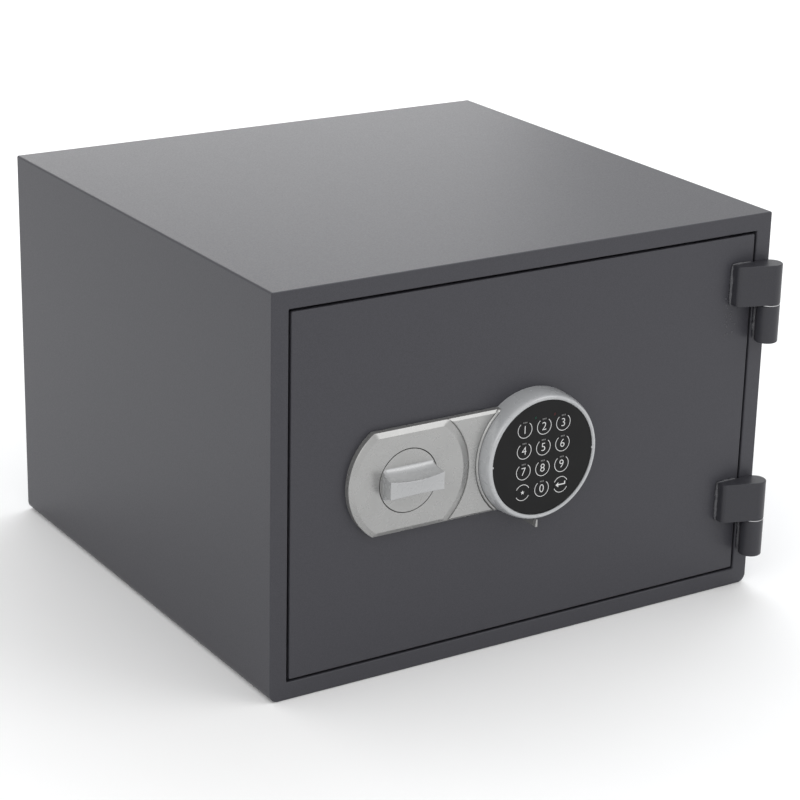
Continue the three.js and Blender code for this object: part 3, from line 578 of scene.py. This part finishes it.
def build_hinge_washer(place):
    low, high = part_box("hinge_washer_" + place)
    rim = HINGE_R - 0.15 * MM
    profile = [(HINGE_BORE_R, low.z), (rim, low.z), (rim, high.z), (HINGE_BORE_R, high.z)]
    washer = lathe(f"hinge_washer_{place}_visible", profile, HINGE, "z", 48)
    tidy_shading(washer)
    settle(washer, "cabinet", BARE, ["hinge_washer_" + place])


def wander(x, y, z):
    """Smooth noise of about -1 to 1 at a point without units."""
    return noise.noise(Vector((x, y, z)))


def bead_size(t, seed):
    """Thickness of a weld bead along its run (t from 0 to 1), as a share of its radius."""
    ripple = abs(math.sin(t * 26 + 2 * wander(t * 5, seed, 4.1)))
    taper = min(1, math.sin(math.pi * min(max(t, 0.02), 0.98)) ** 0.35 + 0.05)
    return (0.85 + 0.45 * wander(t * 7, seed, 0.3) + 0.16 * ripple) * taper


def weld_bead(name, start, end, radius, body, seed):
    """An uneven run of weld between two points, with ripples and swellings, under the paint; its lighter
    colour is a painted highlight of glints.
    """
    start, end = Vector(start), Vector(end)
    axis = (end - start).normalized()
    side = axis.cross(Vector((0, 1, 0))).normalized()
    up = side.cross(axis)
    loops = []
    for i in range(BEAD_STEPS + 1):
        t = i / BEAD_STEPS
        size = radius * bead_size(t, seed)
        middle = start.lerp(end, t) + side * radius * 0.35 * wander(t * 6, seed, 9.7)
        loop = []
        for k in range(BEAD_SIDES):
            angle = 2 * math.pi * k / BEAD_SIDES
            across, rise = math.cos(angle), math.sin(angle)
            rough = 1 + 0.13 * wander(t * 30, across * 2 + seed, rise * 2)
            loop.append(middle + (side * across + up * rise) * size * rough)
        loops.append(loop)
    bead = loft(name, loops, cap_start=True, cap_end=True)
    bead.data.shade_smooth()
    settle(bead, body, WELD_WITH_PAINTED_GLINTS)


def build_welds(place, index):
    low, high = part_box("hinge_leaf_" + place)
    knuckle_low, knuckle_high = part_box("hinge_knuckle_" + place)
    y = FRONT - 0.9 * MM
    left = low.x - 0.2 * MM
    right = DOOR_HI.x - 3 * MM
    weld_bead(f"leaf_weld_side_{place}", (left, y, low.z + 0.5 * MM), (left, y, high.z - 0.5 * MM),
              1.5 * MM, "door", 1.7 + index)
    for side, z in (("top", high.z), ("bottom", low.z)):
        weld_bead(f"leaf_weld_{side}_{place}", (left, y, z), (right, y, z), 1.0 * MM, "door",
                  5.2 + index + z)
    x = HINGE.x - 5.6 * MM
    y = FRONT - 1.3 * MM
    weld_bead(f"knuckle_weld_{place}", (x, y, knuckle_low.z + 1 * MM),
              (x, y, knuckle_high.z - 1.5 * MM), 1.6 * MM, "cabinet", 8.4 + index)


def build_spatter():
    """Small drops of weld left on the door below the upper leaf, painted over; their lighter colour is a
    painted highlight of glints.
    """
    dice = random.Random(11)
    sunk = FRONT + 0.2 * MM
    parts = []
    for index in range(SPATTER_DROPS):
        x = LEAF_LO.x + dice.uniform(-4.5, 9) * MM
        z = LEAF_LO.z + dice.uniform(-26, 6) * MM
        radius = dice.uniform(0.25, 0.75) * MM
        profile = [(0, sunk), (radius, sunk), (radius * 0.95, FRONT - radius * 0.25),
                   (radius * 0.6, FRONT - radius * 0.55), (0, FRONT - radius * 0.7)]
        parts.append(lathe(f"drop_{index}", profile, Vector((x, FRONT, z)), "y", 10))
    drops = join_pieces("weld_spatter", parts)
    drops.data.shade_smooth()
    settle(drops, "door", WELD_WITH_PAINTED_GLINTS)


def build_hinges():
    for index, place in enumerate(PLACES):
        build_hinge_leaf(place)
        build_hinge_knuckle(place)
        build_hinge_washer(place)
        build_welds(place, index)
    build_spatter()


# ---------------------------------------------------------------- door

DOOR_CORNER_R = 1.2 * MM
DOOR_EDGE = 1.0 * MM


def door_loop(inset, y):
    half_w = DOOR_HI.x - inset
    radius = DOOR_CORNER_R - inset
    return rounded_loop(half_w, DOOR_LO.z + inset, DOOR_HI.z - inset, radius, radius, y)


def build_door_panel():
    loops = [door_loop(DOOR_EDGE, FRONT)]
    for sine, rise in quarter():
        loops.append(door_loop(DOOR_EDGE * (1 - sine), FRONT + DOOR_EDGE * rise))
    loops.append(door_loop(0, DOOR_HI.y))
    loops.append(door_loop(SHEET, DOOR_HI.y))
    loops.append(door_loop(SHEET, FRONT + 2.5 * MM))
    panel = loft("door_panel_visible", loops, cap_start=True, cap_end=True)
    span = (FRONT - 5 * MM, FRONT + 5 * MM)
    cut(panel, rod_solid("spindle_cutter", KNOB, 6 * MM, span))
    cable = (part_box("keypad_cable")[0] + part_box("keypad_cable")[1]) / 2
    cut(panel, rod_solid("cable_cutter", cable, 5 * MM, span))
    tidy_shading(panel)
    settle(panel, "door", PAINT, ["door_panel"])


def build_door_insides():
    refine("door_pan", "door", PAINT, 0.5 * MM)
    refine("door_cover", "door", LINER_PAINT, 0.6 * MM)
    refine("dog_bar", "door", ZINC, 1.0 * MM)
    refine("bolt_guide", "door", ZINC, 0.4 * MM)
    refine("lock_case", "door", ZINC, 1.0 * MM)
    refine("spindle_bush", "door", BRASS, 0.3 * MM)
    refine("door_seal", "door", RUBBER, 0.5 * MM)
    for place in PLACES:
        refine("guide_stud_" + place, "door", ZINC, 0.3 * MM)
    for index in range(1, 5):
        refine(f"cover_screw_{index}", "door", ZINC, 0.2 * MM)


def build_bolt_work():
    refine("bolt_carriage", "bolt_work", ZINC, 0.4 * MM)
    for place in PLACES:
        refine("live_bolt_" + place, "bolt_work", BARE, 0.3 * MM)
    refine("lock_bolt", "lock_bolt", BRASS, 0.4 * MM)
    refine("cam", "knob", ZINC, 0.3 * MM)


# ---------------------------------------------------------------- lock plate

ARC_POINTS = 44
STRAIGHT_POINTS = 22
PLATE_HALF = (PLATE_HI.z - PLATE_LO.z) / 2
LEFT_R = KNOB.x - PLATE_LO.x
PLATEAU_R = 53.44 * MM                  # foot of the slope at the plateau's right end
PLATEAU_HEIGHT = 7.5 * MM
TONGUE_R = 53.5 * MM
COLLAR_R = 53.0 * MM
COLLAR_INNER = 51.0 * MM
DISC_R = KNOB_HI.x - KNOB.x
DISC_GAP = 0.55 * MM
WALL = 4.4                              # height of the plate's upright side, in mm

# How each piece of the plate steps in as it rises: (top and bottom, left end, right end, height), in mm
PLATEAU_LEVELS = [(0, 0, 0, 0), (0, 0, 0, WALL), (0.12, 0.12, 0, 4.65), (0.9, 0.9, 0.05, 5.22),
                  (1.15, 1.15, 0.4, 5.4), (3.6, 3.6, 5.3, 7.2), (3.85, 3.85, 5.8, 7.38),
                  (4.25, 4.25, 6.5, 7.5)]
TONGUE_LEVELS = [(0, 0, 0, 0), (0, 0, 0, WALL), (0.1, 0, 0, 4.65), (1.55, 0.08, 0.05, 5.8),
                 (1.8, 0.3, 0.15, 6.08), (2.1, 0.75, 0.4, 6.3), (2.3, 1.3, 0.7, 6.4)]
COLLAR_LEVELS = [(0, 0, 0, 0), (0, 0, 0, WALL), (0.2, 0.1, 0, 5.3), (0.9, 0.5, 0, 6.1),
                 (1.6, 1.1, 0, 6.7), (2.2, 1.6, 0, 7.0)]


def arc_end(centre_x, radius, half, side, downwards=True):
    """The part of a circle between the heights +half and -half, left (side -1) or right (side 1)."""
    reach = math.asin(min(half / radius, 1))
    points = []
    for i in range(ARC_POINTS):
        angle = reach * (1 - 2 * i / (ARC_POINTS - 1))
        points.append((centre_x + side * radius * math.cos(angle), MID_Z + radius * math.sin(angle)))
    return points if downwards else points[::-1]


def between(start, end):
    points = []
    for i in range(1, STRAIGHT_POINTS):
        t = i / STRAIGHT_POINTS
        points.append((start[0] + (end[0] - start[0]) * t, start[1] + (end[1] - start[1]) * t))
    return points


def plate_loop(left, right, height):
    """A closed outline from a left end drawn downwards and a right end drawn upwards."""
    outline = left + between(left[-1], right[0]) + right + between(right[-1], left[0])
    return [(x, FOOT - height, z) for x, z in outline]


def build_plateau():
    """Raised left part of the plate, with the hole for the knob's disc through it."""
    loops = []
    for top, left, right, height in PLATEAU_LEVELS:
        half = PLATE_HALF - top * MM
        loops.append(plate_loop(arc_end(KNOB.x, LEFT_R - left * MM, half, -1),
                                arc_end(KNOB.x, PLATEAU_R - right * MM, half, 1, False), height * MM))
    hole = DISC_R + DISC_GAP
    angles = [math.atan2(z - MID_Z, x - KNOB.x) for x, _, z in loops[-1]]
    for radius, height in ((hole + 0.25 * MM, PLATEAU_HEIGHT), (hole, 7.3 * MM), (hole, 0)):
        loops.append([(KNOB.x + radius * math.cos(angle), FOOT - height, MID_Z + radius * math.sin(angle))
                      for angle in angles])
    return loft("lock_plate_plateau", loops, closed=True)


def build_strip(name, levels, left_centre, left_r, left_side, right_r):
    """A strip between a left end about left_centre and a hollow right end about the keypad."""
    loops = []
    for top, left, right, height in levels:
        half = PLATE_HALF - top * MM
        loops.append(plate_loop(arc_end(left_centre, left_r + left * MM * left_side, half, left_side),
                                arc_end(KEYPAD.x, right_r + right * MM, half, -1, False), height * MM))
    return loft(name, loops, cap_start=True, cap_end=True)


def build_lock_plate():
    plateau = build_plateau()
    tongue = build_strip("lock_plate_tongue", TONGUE_LEVELS, KNOB.x, TONGUE_R, 1, COLLAR_R)
    collar = build_strip("lock_plate_collar", COLLAR_LEVELS, KEYPAD.x, COLLAR_R - 0.1 * MM, -1,
                         COLLAR_INNER)
    for piece in (plateau, tongue, collar):
        tidy_shading(piece, 50)
        settle(piece, "door", SILVER)
    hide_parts("lock_plate")


# ---------------------------------------------------------------- knob

SPINDLE_SOCKET_R = 5.3 * MM
GRIP_STATIONS = 40
GRIP_STEPS = 20
GRIP_HALF_LENGTH = 23.0 * MM
GRIP_BASE_LENGTH = 22.3 * MM
GRIP_MID_HEIGHT = FRONT - KNOB_LO.y
GRIP_END_HEIGHT = GRIP_MID_HEIGHT - 2.2 * MM
GRIP_BASE_Y = FOOT - PLATEAU_HEIGHT + 0.12 * MM
GRIP_FOOT = 12.8 * MM                   # how far the flare spreads over the disc
GRIP_EDGE = 0.4 * MM


def build_knob_disc():
    top = FOOT - PLATEAU_HEIGHT
    profile = [(0, FOOT), (DISC_R, FOOT), (DISC_R, top + 0.4 * MM), (DISC_R - 0.15 * MM, top + 0.1 * MM),
               (DISC_R - 0.4 * MM, top), (0, top)]
    disc = lathe("knob_disc", profile, KNOB, "y", 128)
    cut(disc, rod_solid("socket", KNOB, SPINDLE_SOCKET_R, (FRONT - 6 * MM, FRONT + 2 * MM)))
    tidy_shading(disc)
    settle(disc, "knob", SILVER, ["knob"])


def grip_front(along):
    """Where the grip's hollow front face lies at one station, -1 to 1."""
    return FRONT - (GRIP_END_HEIGHT + (GRIP_MID_HEIGHT - GRIP_END_HEIGHT) * (1 - along * along))


def grip_side(along):
    """Upper half section of the grip at one station: (y, z offset) from the disc to the front."""
    front = grip_front(along)
    lip = (5.4 + 1.6 * along * along) * MM
    waist = lip - 0.25 * MM
    chord = math.sqrt(DISC_R ** 2 - (along * GRIP_BASE_LENGTH) ** 2) - 0.3 * MM
    foot = max(min(GRIP_FOOT, chord), waist)
    side = []
    for i in range(GRIP_STEPS + 1):
        t = (i / GRIP_STEPS) ** 1.6
        flare = (foot - waist) * (1 - t ** 0.65) ** 1.5
        spread = (lip - waist) * t ** 3
        side.append((GRIP_BASE_Y + (front + GRIP_EDGE - GRIP_BASE_Y) * t, waist + flare + spread))
    side += [(front + 0.3 * GRIP_EDGE, lip - 0.3 * GRIP_EDGE), (front, lip - GRIP_EDGE)]
    for share in (0.75, 0.5, 0.25):
        side.append((front + 0.3 * MM * (1 - share * share), (lip - GRIP_EDGE) * share))
    return side


def grip_loop(along):
    """A whole section; the grip widens a little from the disc to its front."""
    front = grip_front(along)
    side = grip_side(along)
    loop = []
    for y, z in side + [(y, -z) for y, z in reversed(side)]:
        share = (GRIP_BASE_Y - y) / (GRIP_BASE_Y - front)
        reach = GRIP_BASE_LENGTH + (GRIP_HALF_LENGTH - GRIP_BASE_LENGTH) * share
        loop.append((KNOB.x + along * reach, y, MID_Z + z))
    return loop


def build_grip():
    loops = [grip_loop(-1 + 2 * i / GRIP_STATIONS) for i in range(GRIP_STATIONS + 1)]
    grip = loft("knob_grip", loops, cap_start=True, cap_end=True)
    bevel(grip, 0.45 * MM, 3, 55)
    apply_modifiers(grip)
    tidy_shading(grip, 50)
    settle(grip, "knob", GRIP_SILVER)


# ---------------------------------------------------------------- keypad

# heights above the door at which the bulging side is drawn, and the rim after it as (radius, height), in mm
BARREL_HEIGHTS = (0, 1.5, 3, 4.5, 6, 7.5, 9, 10.5, 12, 13.2, 14.3, 15.3, 16.1, 16.8, 17.3, 17.7)
RIM_SHAPE = [(47.35, 18.02), (46.8, 18.2), (46.35, 18.15), (46.05, 17.95), (45.95, 17.6), (45.4, 17.55),
             (45.35, 17.3), (45.35, 15.4), (43.6, 15.4), (43.6, 0)]
NIB_REACH = 45.2 * MM                   # the two small marks in the rim, left and right of the face
NIB_HALF = 0.7 * MM


def barrel(height):
    """Radius of the housing's bulging side at a height above the door, both in mm."""
    return 46.7 + 4.0 * (1 - (height / 18.2) ** 2.3) ** (1 / 2.3)


def build_housing():
    """Round housing: bulging side, rounded rim, a thin step to the face and the drawer's mouth."""
    shape = [(barrel(height), height) for height in BARREL_HEIGHTS] + RIM_SHAPE
    profile = [(radius * MM, FOOT - height * MM) for radius, height in shape]
    housing = lathe("keypad_housing_visible", profile, KEYPAD, "y", 144)
    mouth = box_solid("mouth", (DRAWER_LO.x - 0.3 * MM, FOOT - 13.5 * MM, MID_Z - 60 * MM),
                      (DRAWER_HI.x + 0.3 * MM, FOOT - 0.9 * MM, MID_Z - 30 * MM))
    cut(housing, mouth)
    tidy_shading(housing, 50)
    settle(housing, "door", HOUSING_SILVER, ["keypad_housing"])


def build_nibs():
    for place, side in (("left", -1), ("right", 1)):
        x = KEYPAD.x + side * NIB_REACH
        nib = box_solid("rim_nib_" + place, (x - NIB_HALF, FOOT - 17.7 * MM, MID_Z - NIB_HALF),
                        (x + NIB_HALF, FOOT - 16.5 * MM, MID_Z + NIB_HALF))
        bevel(nib, 0.2 * MM, 2)
        settle(nib, "door", HOUSING_SILVER)


KEYS = ["1", "2", "3", "4", "5", "6", "7", "8", "9", "star", "0", "enter"]
KEY_GAP = 0.12 * MM
LAMP_GAP = 0.08 * MM
PRINT_LIFT = 0.02 * MM
PRINT_THICK = 0.04 * MM
RING_OUTER = 6.5 * MM
RING_INNER = 6.02 * MM
DIGIT_SIZE = 9.3 * MM
ARROW = [(-4.6, 0), (-2.0, 2.0), (-2.0, 0.45), (3.3, 0.45), (3.3, 2.2), (4.3, 2.2), (4.3, -0.45),
         (-2.0, -0.45), (-2.0, -2.0)]   # the return arrow's outline, in mm

# where the rings run, in degrees anticlockwise from the right
DIGIT_RING = ((128, 412),)
STAR_RING = ((28, 152), (208, 332))
ENTER_RING = ((24, 156), (204, 336))


def round_node(node):
    """Centre and radius of a round CAD node that faces forwards."""
    low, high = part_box(node)
    return (low + high) / 2, (high.x - low.x) / 2


def build_keypad_face():
    """The round black face, with a hole for each key and each lamp."""
    edge = 0.35 * MM
    rim = FACE_HI.x - KEYPAD.x
    profile = [(0, FACE_HI.y), (rim, FACE_HI.y), (rim, FACE_LO.y + edge),
               (rim - edge * 0.3, FACE_LO.y + edge * 0.3), (rim - edge, FACE_LO.y), (0, FACE_LO.y)]
    face = lathe("keypad_face_visible", profile, KEYPAD, "y", 128)
    holes = [("key_" + name, KEY_GAP, 64) for name in KEYS]
    holes += [("led_" + colour, LAMP_GAP, 32) for colour in ("green", "red")]
    span = (FACE_LO.y - 1 * MM, FACE_HI.y + 1 * MM)
    for node, gap, steps in holes:
        centre, radius = round_node(node)
        cut(face, rod_solid("face_cutter", centre, radius + gap, span, "y", steps))
    tidy_shading(face)
    settle(face, "door", FILM, ["keypad_face"])


def plate_from(name, outline):
    """A thin printed patch from an outline in x and z."""
    y = FACE_LO.y - PRINT_LIFT
    loops = [[(x, y, z) for x, z in outline], [(x, y - PRINT_THICK, z) for x, z in outline]]
    return loft(name, loops, cap_start=True, cap_end=True)


def band_outline(centre, start, end, steps=40):
    outer = []
    inner = []
    for i in range(steps + 1):
        angle = math.radians(start + (end - start) * i / steps)
        for radius, side in ((RING_OUTER, outer), (RING_INNER, inner)):
            side.append((centre.x + radius * math.cos(angle), centre.z + radius * math.sin(angle)))
    return outer + inner[::-1]


def polygon(centre, points):
    return [(centre.x + x * MM, centre.z + z * MM) for x, z in points]


def star_outline(centre, tips=5, outer=1.75, inner=0.8):
    points = []
    for i in range(2 * tips):
        radius = outer if i % 2 == 0 else inner
        angle = math.pi / 2 + math.pi * i / tips
        points.append((radius * math.cos(angle), radius * math.sin(angle)))
    return polygon(centre, points)


def digit_mesh(name, digit, centre):
    curve = bpy.data.curves.new(name, "FONT")
    curve.body = digit
    curve.size = DIGIT_SIZE
    curve.offset = -0.1 * MM
    curve.extrude = PRINT_THICK / 2
    curve.align_x = "CENTER"
    curve.align_y = "CENTER"
    text = bpy.data.objects.new(name, curve)
    bpy.context.scene.collection.objects.link(text)
    bpy.context.view_layer.update()
    graph = bpy.context.evaluated_depsgraph_get()
    mesh = bpy.data.meshes.new_from_object(text.evaluated_get(graph))
    bpy.data.objects.remove(text)
    lift = FACE_LO.y - PRINT_LIFT - PRINT_THICK / 2
    turn = Matrix.Rotation(math.pi / 2, 4, "X")
    mesh.transform(Matrix.Translation((centre.x, lift, centre.z - 0.2 * MM)) @ turn)
    obj = bpy.data.objects.new(name, mesh)
    bpy.context.scene.collection.objects.link(obj)
    return obj


def key_print(name, centre):
    """The white print of one key: a broken ring, and a digit or a sign in it."""
    spans = {"star": STAR_RING, "enter": ENTER_RING}.get(name, DIGIT_RING)
    parts = []
    for index, (start, end) in enumerate(spans):
        parts.append(plate_from(f"ring_{name}_{index}", band_outline(centre, start, end)))
    if name == "star":
        parts.append(plate_from("star_sign", star_outline(centre)))
    elif name == "enter":
        parts.append(plate_from("enter_sign", polygon(centre, ARROW)))
    else:
        parts.append(digit_mesh(f"digit_{name}", name, centre))
    return parts


def key_marks(name, centre):
    """Three short grey bars in the gap of the ring."""
    parts = []
    for index in (-1, 0, 1):
        x = index * 1.3
        mark = [(x - 0.42, 5.3), (x + 0.42, 5.3), (x + 0.42, 6.4), (x - 0.42, 6.4)]
        parts.append(plate_from(f"mark_{name}_{index + 1}", polygon(centre, mark)))
    return parts


def build_key(name):
    low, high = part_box("key_" + name)
    centre, radius = round_node("key_" + name)
    rim = radius - 0.02 * MM
    edge = 0.12 * MM
    profile = [(0, high.y), (rim, high.y), (rim, low.y + edge), (rim - edge, low.y), (0, low.y)]
    cap = lathe(f"key_{name}_visible", profile, centre, "y", 64)
    tidy_shading(cap)
    settle(cap, "key_" + name, FILM, ["key_" + name])
    print_piece = join_pieces(f"key_{name}_print", key_print(name, centre))
    settle(print_piece, "key_" + name, PRINT)
    if name not in ("star", "enter"):
        marks = join_pieces(f"key_{name}_marks", key_marks(name, centre))
        settle(marks, "key_" + name, FINE_PRINT)


def build_keypad():
    build_housing()
    build_nibs()
    build_keypad_face()
    for name in KEYS:
        build_key(name)
    refine("led_green", "door", GREEN_LENS, 0.15 * MM)
    refine("led_red", "door", RED_LENS, 0.15 * MM)
    refine("key_board", "door", BOARD, 0.2 * MM)
    refine("battery_drawer", "battery_drawer", SILVER, 0.25 * MM)
    refine("battery", "battery_drawer", CELL_JACKET, 0.8 * MM)


# ---------------------------------------------------------------- pieces kept as they are

def keep(node, material):
    mesh = frame["nodes"][node].data
    mesh.materials.clear()
    mesh.materials.append(material)


def dress_kept_nodes():
    for node in ("body_insulation", "door_insulation"):
        keep(node, FILLING)
    for node in ("hinge_pin_upper", "hinge_pin_lower", "spindle"):
        keep(node, BARE)
    keep("keypad_cable", RUBBER)


# ---------------------------------------------------------------- floor, light and camera

FLOOR_HALF = 6
FLOOR_Z = -0.2 * MM
WHITE = (1, 1, 1)
COOL = (0.90, 0.95, 1.0)
WORLD_STRENGTH = 0.95
SAFE_MIDDLE = (0, 0, 0.16)

# name, place, target, width and height in metres, power in watts, colour
LIGHTS = [
    ("back_softbox", (0.85, 2.7, 0.55), (0, 0, 0.3), (2.1, 1.1), 15, WHITE),
    ("top_softbox", (0.95, 0.8, 2.0), SAFE_MIDDLE, (1.3, 1.2), 11, COOL),
    ("front_top_softbox", (1.1, -1.25, 1.75), SAFE_MIDDLE, (1.2, 1.0), 6.5, WHITE),
    ("left_top_softbox", (-2.3, -1.5, 1.7), (-0.7, -0.2, 0), (1.8, 1.4), 12, WHITE),
]


def build_floor():
    corners = ((-FLOOR_HALF, -FLOOR_HALF), (FLOOR_HALF, -FLOOR_HALF), (FLOOR_HALF, FLOOR_HALF),
               (-FLOOR_HALF, FLOOR_HALF))
    floor = new_object("floor", [(x, y, FLOOR_Z) for x, y in corners], [(0, 1, 2, 3)])
    shader = Shader("pale_floor", Metallic=0.0, Roughness=0.8)
    cloud = shader.remap(shader.noise(3, 3), 0.3, 0.7, 0, 1)
    shader.colour(shader.mix(cloud, (0.93, 0.93, 0.93), (0.96, 0.96, 0.96)))
    floor.data.materials.append(shader.material)


def area_light(name, place, target, size, power, tint):
    data = bpy.data.lights.new(name, "AREA")
    data.color = tint
    data.shape = "RECTANGLE"
    data.size, data.size_y = size
    data.energy = power
    light = bpy.data.objects.new(name, data)
    light.location = place
    aim = Vector(target) - Vector(place)
    light.rotation_euler = aim.to_track_quat("-Z", "Y").to_euler()
    bpy.context.scene.collection.objects.link(light)


def build_light():
    world = bpy.data.worlds.new("studio")
    world.use_nodes = True
    sky = world.node_tree.nodes["Background"]
    sky.inputs["Color"].default_value = (*WHITE, 1)
    sky.inputs["Strength"].default_value = WORLD_STRENGTH
    bpy.context.scene.world = world
    for light in LIGHTS:
        area_light(*light)


def build_camera():
    back = Vector((math.sin(CAMERA_AZIMUTH) * math.cos(CAMERA_ELEVATION),
                   -math.cos(CAMERA_AZIMUTH) * math.cos(CAMERA_ELEVATION), math.sin(CAMERA_ELEVATION)))
    level_right = (-back).cross(Vector((0, 0, 1))).normalized()
    level_up = level_right.cross(-back)
    right = math.cos(CAMERA_ROLL) * level_right + math.sin(CAMERA_ROLL) * level_up
    up = -math.sin(CAMERA_ROLL) * level_right + math.cos(CAMERA_ROLL) * level_up
    data = bpy.data.cameras.new("camera")
    data.lens = CAMERA_LENS
    data.sensor_width = 36
    camera = bpy.data.objects.new("camera", data)
    basis = Matrix((right, up, back)).transposed().to_4x4()
    camera.matrix_world = Matrix.Translation(CAMERA_AT) @ basis
    bpy.context.scene.collection.objects.link(camera)
    bpy.context.scene.camera = camera


# ---------------------------------------------------------------- assembly

build_camera()
build_body_shell()
build_cabinet_insides()
build_hinges()
build_door_panel()
build_door_insides()
build_bolt_work()
build_lock_plate()
build_knob_disc()
build_grip()
build_keypad()
dress_kept_nodes()
build_floor()
build_light()
bpy.context.scene.view_settings.view_transform = "Standard"

bpy.context.view_layer.update()
